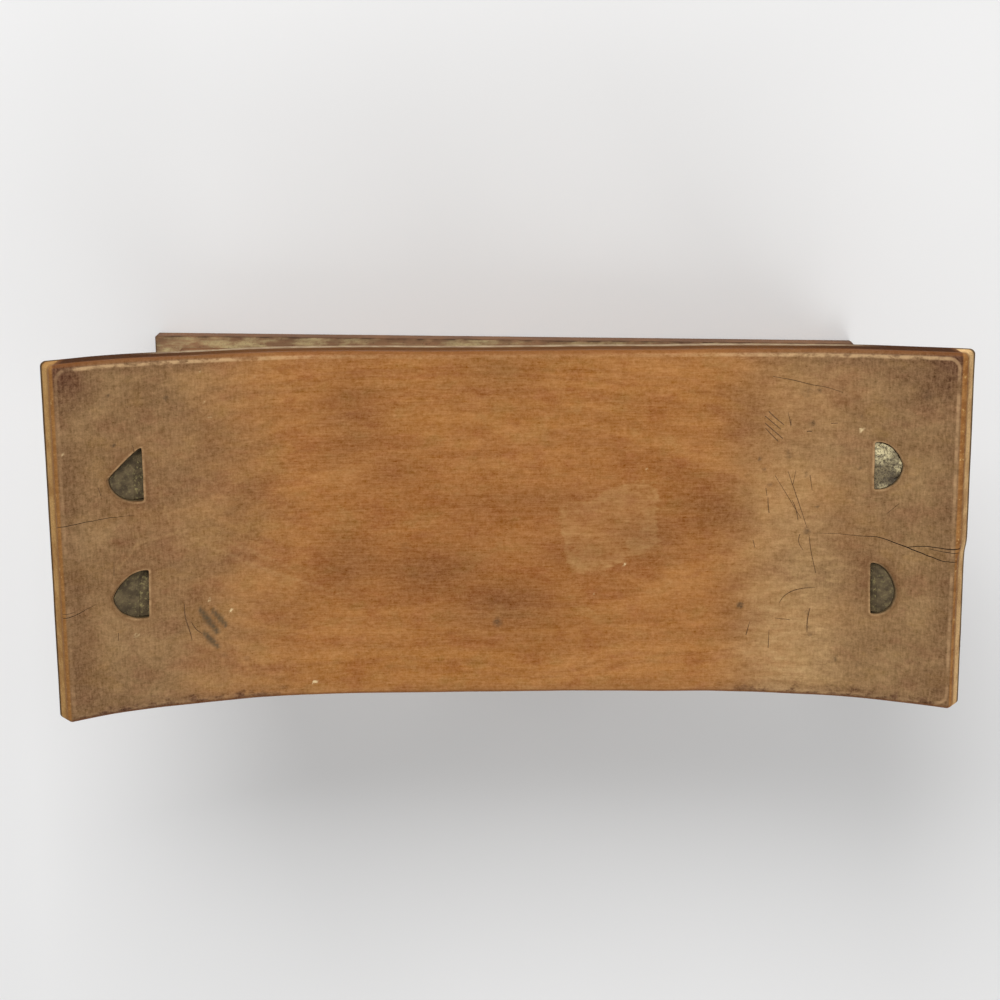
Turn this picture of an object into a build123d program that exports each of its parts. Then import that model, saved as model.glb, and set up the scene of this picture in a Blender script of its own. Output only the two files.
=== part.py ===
from build123d import *
from math import asin, atan2, cos, hypot, radians, sin, sqrt
import os

# A wooden stool in the Ashanti manner, made as a joined piece of furniture.
#
# A crescent seat board stands on a pierced drum at its middle and on four half-round
# posts at its corners. The drum's spigots sit in round sockets. Each post stands in a
# blind mortise in the base, where a peg from the end of its block holds its foot, and
# passes through the seat in a half-round mortise, where a wedge along its flat side
# locks it.
#
# Millimetres, +Z up, +X along the seat, origin on the floor below the seat's middle.

# ---------------------------------------------------------------- driving dimensions
# Seat board: a crescent, gently curved in the middle and steeper towards its ends.
seat_chord = 565.0  # straight across the top, from end to end
seat_depth = 229.0  # front to back
seat_height = 270.0  # floor to the top of the seat at its middle
seat_rise = 42.0  # how far the ends stand above the middle
seat_shallow = 130.0  # half-length of the gently curved middle stretch
seat_shallow_rise = 3.4  # how far that stretch rises by its ends
seat_middle_thickness = 30.0
seat_end_thickness = 26.0
seat_corner_radius = 7.0
seat_edge_radius = 3.5
boss_drop = 6.0  # the round boss over the drum stands this far below the seat
boss_margin = 7.0  # and is this much larger than the drum all round

# Base: a plinth, a thick block and a low step, one upon the other in one piece.
base_end_inset = 18.0  # from the end of the seat to that of the plinth
base_side_inset = 28.8  # from the long side of the seat to that of the plinth
base_shift = 3.0  # how far along the seat the base stands off centre, as it was made
base_twist = -1.25  # degrees that it stands askew to the seat
base_corner_radius = 2.0
base_edge_radius = 1.5
plinth_height = 20.0
block_height = 33.0
block_end_inset = 16.5  # from the end of the plinth to that of the block
block_side_inset = 9.0  # from the long side of the plinth to that of the block
step_height = 10.0
step_end_gap = 14.0  # from the posts to the ends of the step
step_side_inset = 18.0  # from the long sides of the block to those of the step

# Drum: a hollow, slightly barrelled column, pierced by rows of half-moon windows.
drum_bore_radius = 28.0
drum_end_wall = 22.0
drum_belly = 4.0  # how far the drum swells at the middle of its height
spigot_wall = 12.0
spigot_length = 12.0
window_rows = 4
windows_in_row = 8
window_radius = 11.0
window_stem = 4.5  # straight stretch between the flat side and the half circle
window_splay = 2.7  # the windows are this much smaller all round inside the drum
band_height = 20.0  # plain band above and below the windows
groove_size = 1.8
groove_insets = (7.0, 13.0)  # from each end of the drum to its incised rings

# Posts: half-round, with their flat sides facing the drum.
tenon_radius = 17.5
tenon_stem = 2.5
shoulder_width = 5.5  # the post is this much larger than its tenons all round
foot_end_inset = 3.5  # from the end of the block to the post
foot_side_inset = 3.0  # from the long side of the block to the post
foot_tenon_length = 32.0
mortise_end_inset = 50.5  # from the end of the seat to the flat side of the mortise
mortise_side_inset = 75.0  # from the long side of the seat to the mortise's middle
lug_drop = 6.0  # the lug under the seat stands about this far below the board
lug_margin = 5.0  # and is this much larger than the post all round
post_groove_depth = 1.2
post_groove_width = 2.4
post_groove_spacing = 6.0
post_groove_count = 3
post_groove_inset = 14.0  # from each end of the post's body to its nearest groove

# Joinery.
joint_gap = 0.2  # between two pieces that fit together
tenon_recess = 5.0  # the tenon and its wedge stop this far below the top of the seat
wedge_head = 7.0  # the wedge's thickness at the top of the seat
wedge_toe = 2.5  # and at the shoulder
wedge_tip_gap = 3.0  # the wedge stops this far above the shoulder
peg_radius = 4.0
peg_drop = 16.0  # from the top of the block to the peg
peg_bite = 10.0  # how far the peg runs on past the post's tenon
peg_proud = 0.8  # how far the peg stands out of the block
filler_crown = 0.6  # how far the filler stands above the seat

# ---------------------------------------------------------------- derived places
seat_half = seat_chord / 2
shallow_arc = (seat_shallow**2 + seat_shallow_rise**2) / (2 * seat_shallow_rise)
shallow_slope = asin(seat_shallow / shallow_arc)
steep_run = seat_half - seat_shallow
steep_climb = seat_rise - seat_shallow_rise
steep_turn = atan2(steep_climb, steep_run) - shallow_slope
steep_arc = hypot(steep_run, steep_climb) / (2 * sin(steep_turn))
steep_middle_x = seat_shallow - steep_arc * sin(shallow_slope)
steep_middle_z = seat_height + seat_shallow_rise + steep_arc * cos(shallow_slope)

plinth_length = seat_chord - 2 * base_end_inset
plinth_depth = seat_depth - 2 * base_side_inset
block_length = plinth_length - 2 * block_end_inset
block_depth = plinth_depth - 2 * block_side_inset
block_top = plinth_height + block_height
step_top = block_top + step_height
base_plane = Plane((base_shift, 0, 0)).rotated((0, 0, base_twist))
boss_bottom = seat_height - seat_middle_thickness - boss_drop
drum_height = boss_bottom - step_top
drum_middle = step_top + drum_height / 2
drum_end_radius = drum_bore_radius + drum_end_wall
drum_belly_radius = drum_end_radius + drum_belly
drum_arc = ((drum_height / 2) ** 2 + drum_belly**2) / (2 * drum_belly)
spigot_radius = drum_bore_radius + spigot_wall

post_radius = tenon_radius + shoulder_width
foot_x = block_length / 2 - foot_end_inset - tenon_stem - post_radius
foot_y = block_depth / 2 - foot_side_inset - post_radius
mortise_x = seat_half - mortise_end_inset
mortise_y = seat_depth / 2 - mortise_side_inset
shoulder_depth = seat_middle_thickness + lug_drop
step_length = 2 * (foot_x - shoulder_width - step_end_gap)
step_depth = block_depth - 2 * step_side_inset
peg_length = block_length / 2 + peg_proud - foot_x + peg_bite
past_everything = 2 * seat_chord
corners = {
    "back_left": (-1, 1),
    "back_right": (1, 1),
    "front_left": (-1, -1),
    "front_right": (1, -1),
}


def draw_crescent(drop, tip=None):
    """Draws the right half of the seat's surface, lowered by a drop, in the current
    line. A tip of its own moves the end of the steep stretch."""
    shallow = TangentArc(
        (0, seat_height - drop),
        (seat_shallow, seat_height + seat_shallow_rise - drop),
        tangent=(1, 0),
    )
    tip = tip or (seat_half, seat_height + seat_rise - drop)
    return TangentArc(shallow @ 1, tip, tangent=shallow % 1)


def half_round(plane, radius, stem, grow=0.0):
    """A half-round outline, whose flat side lies on the plane's Y axis if it doesn't
    grow."""
    with BuildSketch(plane) as outline:
        with BuildLine():
            flat = Line((-grow, -radius - grow), (-grow, radius + grow))
            upper = Line(flat @ 1, (stem, radius + grow))
            lower = Line(flat @ 0, (stem, -radius - grow))
            ThreePointArc(upper @ 1, (stem + radius + grow, 0), lower @ 1)
        make_face()
    return outline.sketch


def tenon_outline(plane, grow=0.0):
    """The outline of a post's tenon, or of what is larger than it all round."""
    return half_round(plane, tenon_radius, tenon_stem, grow)


def post_frame(side_x, side_y):
    """The plane that a post stands on, and the distance up the post to the top of the
    seat. The origin is the middle of the tenon's flat side at the top of the block, X
    points outwards and Z runs up the post."""
    foot = base_plane.from_local_coords((side_x * foot_x, side_y * foot_y, block_top))
    mortise_z = steep_middle_z - sqrt(steep_arc**2 - (mortise_x - steep_middle_x) ** 2)
    head = Vector(side_x * mortise_x, side_y * mortise_y, mortise_z)
    up = (head - foot).normalized()
    side = Vector(side_x, 0, 0)
    outwards = (side - up * side.dot(up)).normalized()
    return Plane(origin=foot, x_dir=outwards, z_dir=up), (head - foot).length


def above_seat(drop):
    """Everything over a surface that lies a drop below the seat's top."""
    with BuildPart() as region:
        with BuildSketch(Plane.XZ):
            with BuildLine():
                edge = draw_crescent(drop)
                side = Line(edge @ 1, (seat_half, past_everything))
                Line(side @ 1, (0, past_everything))
                mirror(about=Plane.YZ)
            make_face()
        extrude(amount=seat_depth / 2, both=True)
    return region.part


def wedge_room(frame, height, spare=0.0):
    """The tapered slot for the wedge, along the flat side of a tenon."""
    side = Plane(origin=frame.origin, x_dir=frame.x_dir, z_dir=-frame.y_dir)
    shoulder = height - shoulder_depth
    taper = (wedge_head - wedge_toe) / shoulder_depth
    low = shoulder + wedge_tip_gap
    high = height + post_radius
    with BuildPart() as room:
        with BuildSketch(side):
            Polygon(
                (-spare, low - spare),
                (wedge_toe + taper * wedge_tip_gap + spare, low - spare),
                (wedge_toe + taper * (high - shoulder) + spare, high),
                (-spare, high),
                align=None,
            )
        extrude(amount=post_radius, both=True)
    return room.part


def peg_plane(side_x, side_y):
    """The plane at the outer end of a peg, with Z running into the base."""
    origin = base_plane.from_local_coords(
        (
            side_x * (block_length / 2 + peg_proud),
            side_y * foot_y,
            block_top - peg_drop,
        )
    )
    return Plane(origin=origin, x_dir=(0, 0, 1), z_dir=-side_x * base_plane.x_dir)


os.makedirs("parts", exist_ok=True)

# ---------------------------------------------------------------- seat board
with BuildPart() as lugs:
    for side_x, side_y in corners.values():
        frame, height = post_frame(side_x, side_y)
        shoulder = frame.offset(height - shoulder_depth)
        extrude(
            tenon_outline(shoulder, shoulder_width + lug_margin), amount=shoulder_depth
        )
    add(above_seat(seat_end_thickness / 2), mode=Mode.SUBTRACT)

with BuildPart() as seat:
    with BuildSketch(Plane.XZ):
        with BuildLine():
            top = draw_crescent(0)
            along = top % 1
            end_cut = Line(
                top @ 1, top @ 1 + Vector(along.Y, -along.X) * seat_end_thickness
            )
            draw_crescent(seat_middle_thickness, end_cut @ 1)
            mirror(about=Plane.YZ)
        make_face()
    extrude(amount=seat_depth / 2, both=True)

    ends = seat.faces().filter_by(GeomType.PLANE).sort_by(Axis.X)
    end_sides = (ends[0] + ends[-1]).edges().filter_by(Axis.Y, reverse=True)
    fillet(end_sides, seat_corner_radius)
    skin = seat.faces().filter_by(lambda f: abs(f.normal_at().Z) > cos(radians(45)))
    rim = skin.edges().filter_by(
        lambda e: (
            abs(e.center().X) > seat_half - seat_end_thickness
            or abs(e.center().Y) > seat_depth / 2 - seat_corner_radius
        )
    )
    fillet(rim, seat_edge_radius)

    # A boss over the drum, with the socket for its spigot.
    with BuildSketch(Plane.XY.offset(boss_bottom)):
        Circle(drum_end_radius + boss_margin)
    extrude(amount=boss_drop + seat_middle_thickness / 2)
    with BuildSketch(Plane.XY.offset(boss_bottom)):
        Circle(spigot_radius + joint_gap)
    extrude(amount=spigot_length + joint_gap, mode=Mode.SUBTRACT)

    # A half-moon lug over each post, and the mortise right through it.
    add(lugs.part)
    for side_x, side_y in corners.values():
        frame, height = post_frame(side_x, side_y)
        shoulder = frame.offset(height - shoulder_depth)
        extrude(
            tenon_outline(shoulder, joint_gap),
            amount=2 * shoulder_depth,
            mode=Mode.SUBTRACT,
        )
seat.part.label = "seat"
export_step(seat.part, "parts/seat.step")

# ---------------------------------------------------------------- base
with BuildPart() as base:
    for length, depth, floor, height in (
        (plinth_length, plinth_depth, 0, plinth_height),
        (block_length, block_depth, plinth_height, block_height),
        (step_length, step_depth, block_top, step_height),
    ):
        with BuildSketch(base_plane.offset(floor)):
            RectangleRounded(length, depth, base_corner_radius)
        extrude(amount=height)
        fillet(base.faces().sort_by(Axis.Z)[-1].edges(), base_edge_radius)
    fillet(base.faces().sort_by(Axis.Z)[0].edges(), base_edge_radius)

    with BuildSketch(Plane.XY.offset(step_top)):
        Circle(spigot_radius + joint_gap)
    extrude(amount=-spigot_length - joint_gap, mode=Mode.SUBTRACT)

    for side_x, side_y in corners.values():
        frame, height = post_frame(side_x, side_y)
        foot = frame.offset(-foot_tenon_length - joint_gap)
        extrude(
            tenon_outline(foot, joint_gap),
            amount=2 * foot_tenon_length,
            mode=Mode.SUBTRACT,
        )
        with BuildSketch(peg_plane(side_x, side_y)):
            Circle(peg_radius + joint_gap)
        extrude(amount=peg_length + joint_gap, mode=Mode.SUBTRACT)
base.part.label = "base"
export_step(base.part, "parts/base.step")


# ---------------------------------------------------------------- drum
def drum_surface(z):
    """Outer radius of the drum at a height z."""
    return drum_belly_radius - drum_arc + sqrt(drum_arc**2 - (z - drum_middle) ** 2)


with BuildPart() as windows:
    row_pitch = (drum_height - 2 * band_height) / window_rows
    for row in range(window_rows):
        row_middle = step_top + band_height + (row + 0.5) * row_pitch
        sill = row_middle - (window_radius + window_stem) / 2
        for column in range(windows_in_row):
            angle = radians(360 / windows_in_row * (column + (row % 2) / 2))
            outwards = Vector(cos(angle), sin(angle), 0)
            outside = Plane(
                origin=outwards * drum_belly_radius + Vector(0, 0, sill),
                x_dir=(0, 0, 1),
                z_dir=-outwards,
            )
            inside = outside.offset(drum_belly_radius - drum_bore_radius + drum_belly)
            loft(
                [
                    half_round(outside, window_radius, window_stem),
                    half_round(inside, window_radius, window_stem, -window_splay),
                ]
            )

with BuildPart() as drum:
    with BuildSketch(Plane.XZ):
        with BuildLine():
            belly = ThreePointArc(
                (drum_end_radius, step_top),
                (drum_belly_radius, drum_middle),
                (drum_end_radius, boss_bottom),
            )
            Polyline(
                belly @ 1,
                (spigot_radius, boss_bottom),
                (spigot_radius, boss_bottom + spigot_length),
                (drum_bore_radius, boss_bottom + spigot_length),
                (drum_bore_radius, step_top - spigot_length),
                (spigot_radius, step_top - spigot_length),
                (spigot_radius, step_top),
                belly @ 0,
            )
        make_face()
    revolve(axis=Axis.Z)

    # Incised rings near both ends, and the windows between them.
    for inset in groove_insets:
        for z in (step_top + inset, boss_bottom - inset):
            with BuildSketch(Plane.XZ):
                with Locations((drum_surface(z), z)):
                    RegularPolygon(radius=groove_size, side_count=4)
            revolve(axis=Axis.Z, mode=Mode.SUBTRACT)
    add(windows.part, mode=Mode.SUBTRACT)
drum.part.label = "drum"
export_step(drum.part, "parts/drum.step")

# ---------------------------------------------------------------- posts, wedges, pegs
for corner, (side_x, side_y) in corners.items():
    frame, height = post_frame(side_x, side_y)
    shoulder_height = height - shoulder_depth
    groove_run = post_groove_spacing * (post_groove_count - 1) + post_groove_width
    groove_starts = (
        post_groove_inset,
        shoulder_height - post_groove_inset - groove_run,
    )

    with BuildPart() as post:
        # The body starts inside the block, and is trimmed level with its top.
        extrude(
            tenon_outline(frame.offset(-post_radius), shoulder_width),
            amount=post_radius + shoulder_height,
        )
        split(bisect_by=Plane.XY.offset(block_top), keep=Keep.TOP)
        for start in groove_starts:
            for count in range(post_groove_count):
                band = frame.offset(start + count * post_groove_spacing)
                ring = tenon_outline(band, shoulder_width + post_groove_depth)
                core = tenon_outline(band, shoulder_width - post_groove_depth)
                extrude(ring - core, amount=post_groove_width, mode=Mode.SUBTRACT)
        extrude(
            tenon_outline(frame.offset(-foot_tenon_length)),
            amount=foot_tenon_length + post_radius,
        )
        extrude(
            tenon_outline(frame.offset(shoulder_height)), amount=2 * shoulder_depth
        )
        add(wedge_room(frame, height, joint_gap), mode=Mode.SUBTRACT)
        add(above_seat(tenon_recess), mode=Mode.SUBTRACT)
        with BuildSketch(peg_plane(side_x, side_y)):
            Circle(peg_radius + joint_gap)
        extrude(amount=peg_length + joint_gap, mode=Mode.SUBTRACT)
    post.part.label = f"post_{corner}"
    export_step(post.part, f"parts/post_{corner}.step")

    with BuildPart() as wedge:
        extrude(
            tenon_outline(frame.offset(shoulder_height)), amount=2 * shoulder_depth
        )
        add(wedge_room(frame, height), mode=Mode.INTERSECT)
        add(above_seat(tenon_recess), mode=Mode.SUBTRACT)
    wedge.part.label = f"wedge_{corner}"
    export_step(wedge.part, f"parts/wedge_{corner}.step")

    with BuildPart() as peg:
        with BuildSketch(peg_plane(side_x, side_y)):
            Circle(peg_radius)
        extrude(amount=peg_length)
        chamfer(peg.edges().filter_by(GeomType.CIRCLE), joint_gap)
    peg.part.label = f"peg_{corner}"
    export_step(peg.part, f"parts/peg_{corner}.step")

# ---------------------------------------------------------------- filler
# One mortise was packed level with the seat, over the sunken end of its tenon.
frame, height = post_frame(*corners["back_right"])
with BuildPart() as filler:
    extrude(
        tenon_outline(frame.offset(height - shoulder_depth)), amount=2 * shoulder_depth
    )
    add(above_seat(tenon_recess - joint_gap), mode=Mode.INTERSECT)
    add(above_seat(-filler_crown), mode=Mode.SUBTRACT)
filler.part.label = "mortise_filler"
export_step(filler.part, "parts/mortise_filler.step")
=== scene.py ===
from math import asin, atan2, cos, hypot, pi, radians, sin, sqrt

import bmesh
import bpy
import numpy as np
from mathutils import Matrix, Vector, noise


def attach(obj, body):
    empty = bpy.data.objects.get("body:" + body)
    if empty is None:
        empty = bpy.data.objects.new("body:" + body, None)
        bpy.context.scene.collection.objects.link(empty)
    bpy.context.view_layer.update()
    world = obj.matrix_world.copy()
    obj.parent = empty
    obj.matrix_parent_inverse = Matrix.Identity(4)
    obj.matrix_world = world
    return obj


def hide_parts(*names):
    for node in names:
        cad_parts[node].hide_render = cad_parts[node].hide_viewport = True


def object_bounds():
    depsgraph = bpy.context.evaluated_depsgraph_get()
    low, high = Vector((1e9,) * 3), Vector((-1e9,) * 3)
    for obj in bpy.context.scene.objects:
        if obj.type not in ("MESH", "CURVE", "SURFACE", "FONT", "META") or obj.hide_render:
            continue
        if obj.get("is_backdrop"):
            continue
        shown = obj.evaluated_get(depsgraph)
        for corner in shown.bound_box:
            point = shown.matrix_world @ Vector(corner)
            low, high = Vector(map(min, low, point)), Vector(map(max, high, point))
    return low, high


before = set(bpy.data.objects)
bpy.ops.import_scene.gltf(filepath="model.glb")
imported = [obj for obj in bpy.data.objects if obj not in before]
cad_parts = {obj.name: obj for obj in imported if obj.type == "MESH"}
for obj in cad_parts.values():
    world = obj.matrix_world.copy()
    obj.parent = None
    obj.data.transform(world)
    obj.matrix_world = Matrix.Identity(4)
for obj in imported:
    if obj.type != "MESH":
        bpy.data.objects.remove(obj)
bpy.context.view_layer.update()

# ---------------------------------------------------------------- camera
# The stool is seen from almost straight above and a little from behind, so that the
# whole seat shows, with a sliver of the base past its back edge. Metres.
view_tilt = radians(12.573)
view_yaw = radians(-0.8414)
view_roll = radians(-0.4813)
view_target = Vector((-0.00572, 0.01685, 0.26951))
view_distance = 1.31047
focal_length = 72.955  # this one and the next in millimetres
film_width = 36.0

backwards = Vector(
    (sin(view_yaw) * cos(view_tilt), sin(view_tilt), cos(view_yaw) * cos(view_tilt))
).normalized()
level_right = Vector((0, 1, 0)).cross(backwards).normalized()
level_up = backwards.cross(level_right)
rightwards = level_right * cos(view_roll) + level_up * sin(view_roll)
upwards = level_up * cos(view_roll) - level_right * sin(view_roll)

lens = bpy.data.cameras.new("camera")
lens.lens = focal_length
lens.sensor_width = film_width
camera = bpy.data.objects.new("camera", lens)
turned = Matrix((rightwards, upwards, backwards)).transposed().to_4x4()
camera.matrix_world = Matrix.Translation(view_target + backwards * view_distance) @ turned
bpy.context.scene.collection.objects.link(camera)
bpy.context.scene.camera = camera

# ---------------------------------------------------------------- seat
# One board, carved to a crescent and rubbed smooth and dark by use. It is mortised
# right through near its corners, its edges are worn round, both ends have split along
# the grain, and knives and stains have marked its top. Millimetres from here on.
seat_half_chord = 282.5
seat_depth = 229.0
seat_height = 270.0
seat_rise = 42.0
shallow_half = 130.0
shallow_rise = 3.4
board_thickness = 30.0
end_thickness = 26.0
corner_radius = 3.5
edge_radius = 3.5
waist = 1.6  # how much the long sides draw in at the middle, each
roll_width = 11.0  # the top rolls down gently over this width along its edges
roll_drop = 0.7
split_slip = 0.8  # how far the right end's split has let its two halves slip, each way
split_y = -12.0
split_run = 25.0  # how far in from the end they have slipped
flare = 4.5  # how far the front corners spread at their foot
flare_run = 30.0  # over this length of the board, from its end,
flare_start = 70.0  # and from here
flare_width = 40.0  # over this width
beyond_end = 330.0  # farther out than any part of the seat
board_grid = 2.0  # spacing of the mesh's points over the board, and round its edges
fine_grid = 0.7

shallow_arc = (shallow_half**2 + shallow_rise**2) / (2 * shallow_rise)
shallow_slope = asin(shallow_half / shallow_arc)
shallow_length = shallow_arc * shallow_slope
steep_run = seat_half_chord - shallow_half
steep_climb = seat_rise - shallow_rise
steep_turn = atan2(steep_climb, steep_run) - shallow_slope
steep_arc = hypot(steep_run, steep_climb) / (2 * sin(steep_turn))
steep_centre_x = shallow_half - steep_arc * sin(shallow_slope)
steep_centre_z = seat_height + shallow_rise + steep_arc * cos(shallow_slope)
board_half = shallow_length + 2 * steep_turn * steep_arc  # measured along the curve


def ripple(points, size, seed):
    """Smooth noise between about -1 and 1 at each point, with bumps of a given size."""
    shift = Vector((seed, seed / 3, 0))
    return np.array([noise.noise(Vector(point) / size + shift) for point in points])


def uneven(points, *bumps):
    """Smooth noise made of a few kinds of bump, each with its height, size and seed."""
    return sum(height * ripple(points, size, seed) for height, size, seed in bumps)


def mesh_piece(name, points, faces):
    """A mesh object from points in millimetres, with its faces turned outwards."""
    mesh = bpy.data.meshes.new(name)
    mesh.from_pydata((np.array(points) / 1000).tolist(), [], faces)
    shell = bmesh.new()
    shell.from_mesh(mesh)
    bmesh.ops.recalc_face_normals(shell, faces=shell.faces)
    if shell.calc_volume(signed=True) < 0:
        bmesh.ops.reverse_faces(shell, faces=shell.faces)
    shell.to_mesh(mesh)
    shell.free()
    piece = bpy.data.objects.new(name, mesh)
    bpy.context.scene.collection.objects.link(piece)
    return piece


def grid_lines(half, border, coarse, fine):
    """Grid lines from -half to half, closer together within a border."""
    inner = half - border
    middle = np.linspace(-inner, inner, round(2 * inner / coarse) + 1)
    rim = np.linspace(inner, half, round(border / fine) + 1)[1:]
    return np.concatenate((-rim[::-1], middle, rim))


def box_net(xs, ys, zs):
    """Points and four-sided faces over the outside of a box, on the given grid lines."""
    index = {}
    points = []

    def at(i, j, k):
        if (i, j, k) not in index:
            index[i, j, k] = len(points)
            points.append((xs[i], ys[j], zs[k]))
        return index[i, j, k]

    far_i, far_j, far_k = len(xs) - 1, len(ys) - 1, len(zs) - 1
    faces = []
    for i in range(far_i):
        for j in range(far_j):
            for k in (0, far_k):
                faces.append((at(i, j, k), at(i + 1, j, k), at(i + 1, j + 1, k), at(i, j + 1, k)))
    for k in range(far_k):
        for i in range(far_i):
            for j in (0, far_j):
                faces.append((at(i, j, k), at(i + 1, j, k), at(i + 1, j, k + 1), at(i, j, k + 1)))
        for j in range(far_j):
            for i in (0, far_i):
                faces.append((at(i, j, k), at(i, j + 1, k), at(i, j + 1, k + 1), at(i, j, k + 1)))
    return np.array(points), faces


def round_off(across, along):
    """Turns the corner of a unit square into a quarter circle."""
    return across * np.sqrt(1 - along**2 / 2), along * np.sqrt(1 - across**2 / 2)


def rounded_slab(half_x, half_y, thickness, corner, edge, coarse, fine):
    """A slab with its top at zero, round at its corners and along its worn edges."""
    half_z = thickness / 2
    xs = grid_lines(half_x, corner, coarse, fine)
    ys = grid_lines(half_y, corner, coarse, fine)
    zs = grid_lines(half_z, edge, coarse, fine)
    points, faces = box_net(xs, ys, zs)
    x, y, z = points.T
    edge = edge * (1 + uneven(points * (1, 1, 0), (0.22, 23, 4.1)))
    across = np.clip((np.abs(x) - half_x + corner) / corner, 0, 1)
    along = np.clip((np.abs(y) - half_y + corner) / corner, 0, 1)
    out_x, out_y = round_off(across, along)
    x = np.where(across > 0, np.sign(x) * (half_x - corner + corner * out_x), x)
    y = np.where(along > 0, np.sign(y) * (half_y - corner + corner * out_y), y)
    reach = np.hypot(out_x, out_y)
    in_rim = np.clip((edge - corner * (1 - reach)) / edge, 0, 1)
    up_rim = np.clip((np.abs(z) - half_z + edge) / edge, 0, 1)
    side, height = round_off(in_rim, up_rim)
    shift = (side - in_rim) * edge / np.maximum(reach, 0.01)
    x = x + shift * out_x * np.sign(x)
    y = y + shift * out_y * np.sign(y)
    z = np.where(up_rim > 0, np.sign(z) * (half_z - edge + edge * height), z)
    return np.stack((x, y, z - half_z), axis=1), faces


def along_board(x):
    """Distance along the seat's curve to the place above x."""
    size = np.minimum(np.abs(x), 1.1 * seat_half_chord)
    shallow = shallow_arc * np.arcsin(np.minimum(size, shallow_half) / shallow_arc)
    turn = np.arcsin((np.maximum(size, shallow_half) - steep_centre_x) / steep_arc)
    return np.sign(x) * (shallow + steep_arc * (turn - shallow_slope))


def bend(points):
    """Carries points from the flat board, its top at zero, to the worn crescent."""
    points = np.array(points, float)
    s, y, z = points.T
    size = np.abs(s)
    end_share = np.clip((size - shallow_length) / (board_half - shallow_length), 0, 1)
    z = z * (1 - (1 - end_thickness / board_thickness) * end_share**2)
    y = y * half_width(s) / (seat_depth / 2)

    # Wear rolls the top down along its edges, and the adze left the underside rougher.
    flat = points * (1, 1, 0)
    near_top = np.clip(1 + z / board_thickness, 0, 1)
    inset = np.minimum(board_half - size, seat_depth / 2 - np.abs(y))
    rolled = np.clip(1 - inset / roll_width, 0, 1) ** 2
    z = z + near_top * (uneven(flat, (0.42, 85, 7.3), (0.16, 24, 2.9)) - roll_drop * rolled)
    z = z + (1 - near_top) * uneven(flat, (0.7, 38, 11.2), (0.25, 13, 5.7))

    at_end = np.clip((size - board_half) / flare_run + 1, 0, 1)
    at_front = np.clip((-y - flare_start) / flare_width, 0, 1)
    y = y - flare * (at_end * at_front) * (1 - near_top)
    wander = uneven(points * (1, 0, 0), (0.45, 60, 8.8))
    y = y + crook(s) + wander * np.abs(y) / seat_depth * 2

    in_steep = size > shallow_length
    turn = np.where(
        in_steep, shallow_slope + (size - shallow_length) / steep_arc, size / shallow_arc
    )
    x = np.where(in_steep, steep_centre_x + steep_arc * np.sin(turn), shallow_arc * np.sin(turn))
    height = np.where(
        in_steep,
        steep_centre_z - steep_arc * np.cos(turn),
        seat_height + shallow_arc * (1 - np.cos(turn)),
    )
    side = np.where(s < 0, -1.0, 1.0)
    slipped = np.clip((s - board_half) / split_run + 1, 0, 1)
    x = x + split_slip * slipped * np.tanh((y - split_y) / 4)
    return np.stack((side * (x - z * np.sin(turn)), y, height + z * np.cos(turn)), axis=1)


def crook(s):
    """How far the plank runs to the back of a straight line, at a distance along it: it
    bows left of its middle, and its left end falls away to the front."""
    bow = 1.2 * np.exp(-(((s + 125) / 65) ** 2))
    fallen = 1.7 * np.exp(-(((s + 300) / 45) ** 2))
    return bow - fallen


def half_width(s):
    """Half the plank's width, at a distance along it."""
    return seat_depth / 2 + waist * ((s / board_half) ** 2 - 0.5)


def seat_top(x):
    """Height of the seat's top above x, before wear."""
    size = np.abs(x)
    shallow = shallow_arc**2 - np.minimum(size, shallow_half) ** 2
    steep = steep_arc**2 - (np.clip(size, shallow_half, beyond_end) - steep_centre_x) ** 2
    return np.where(
        size < shallow_half,
        seat_height + shallow_arc - np.sqrt(shallow),
        steep_centre_z - np.sqrt(steep),
    )


# The four posts come up through the board in half-round mortises, each cut by eye.
tenon_radius = 17.5
tenon_stem = 2.5
shoulder_width = 5.5
shoulder_depth = 36.0  # from the top of the seat down to the post's shoulder
lug_margin = 5.0
mortise_x = 232.0
mortise_y = 39.5
foot_x = 219.0
foot_y = 50.7
block_top = 53.0  # of the base, over the floor
base_shift = 3.0
base_twist = radians(-1.25)
joint_gap = 0.2
corners = {
    "back_left": (-1, 1),
    "back_right": (1, 1),
    "front_left": (-1, -1),
    "front_right": (1, -1),
}
# How each mortise came out of its maker's hands: its turn in degrees, how much wider
# (across) and longer (along) than meant, and how far from its place, outwards and back.
# Its round side sags to the front by a share of its width, and keen says how nearly it
# is cut straight towards the back.
hand_cut = {
    "back_left": dict(turn=-0.2, across=0.99, along=0.96, out=-0.3, back=1.4, sag=0.05, keen=0.85),
    "back_right": dict(turn=0.6, across=0.82, along=0.86, out=0.1, back=1.6, sag=-0.03, keen=0.19),
    "front_left": dict(turn=-2.0, across=1.03, along=0.89, out=-0.6, back=2.4, sag=0.07, keen=0.25),
    "front_right": dict(turn=1.7, across=0.73, along=0.95, out=-0.1, back=0.3, sag=0.1, keen=0.14),
}
# How far the mouth of each mortise is worn open on its round side.
mouth_wear = {"back_left": 0.9, "back_right": 1.6, "front_left": 0.9, "front_right": 3.2}


def settle_askew(points):
    """Turns points of the base to stand askew, as the base does, off the seat's middle."""
    points = np.array(points, float)
    x, y = points[:, 0].copy(), points[:, 1].copy()
    points[:, 0] = base_shift + x * cos(base_twist) - y * sin(base_twist)
    points[:, 1] = x * sin(base_twist) + y * cos(base_twist)
    return points


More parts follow.
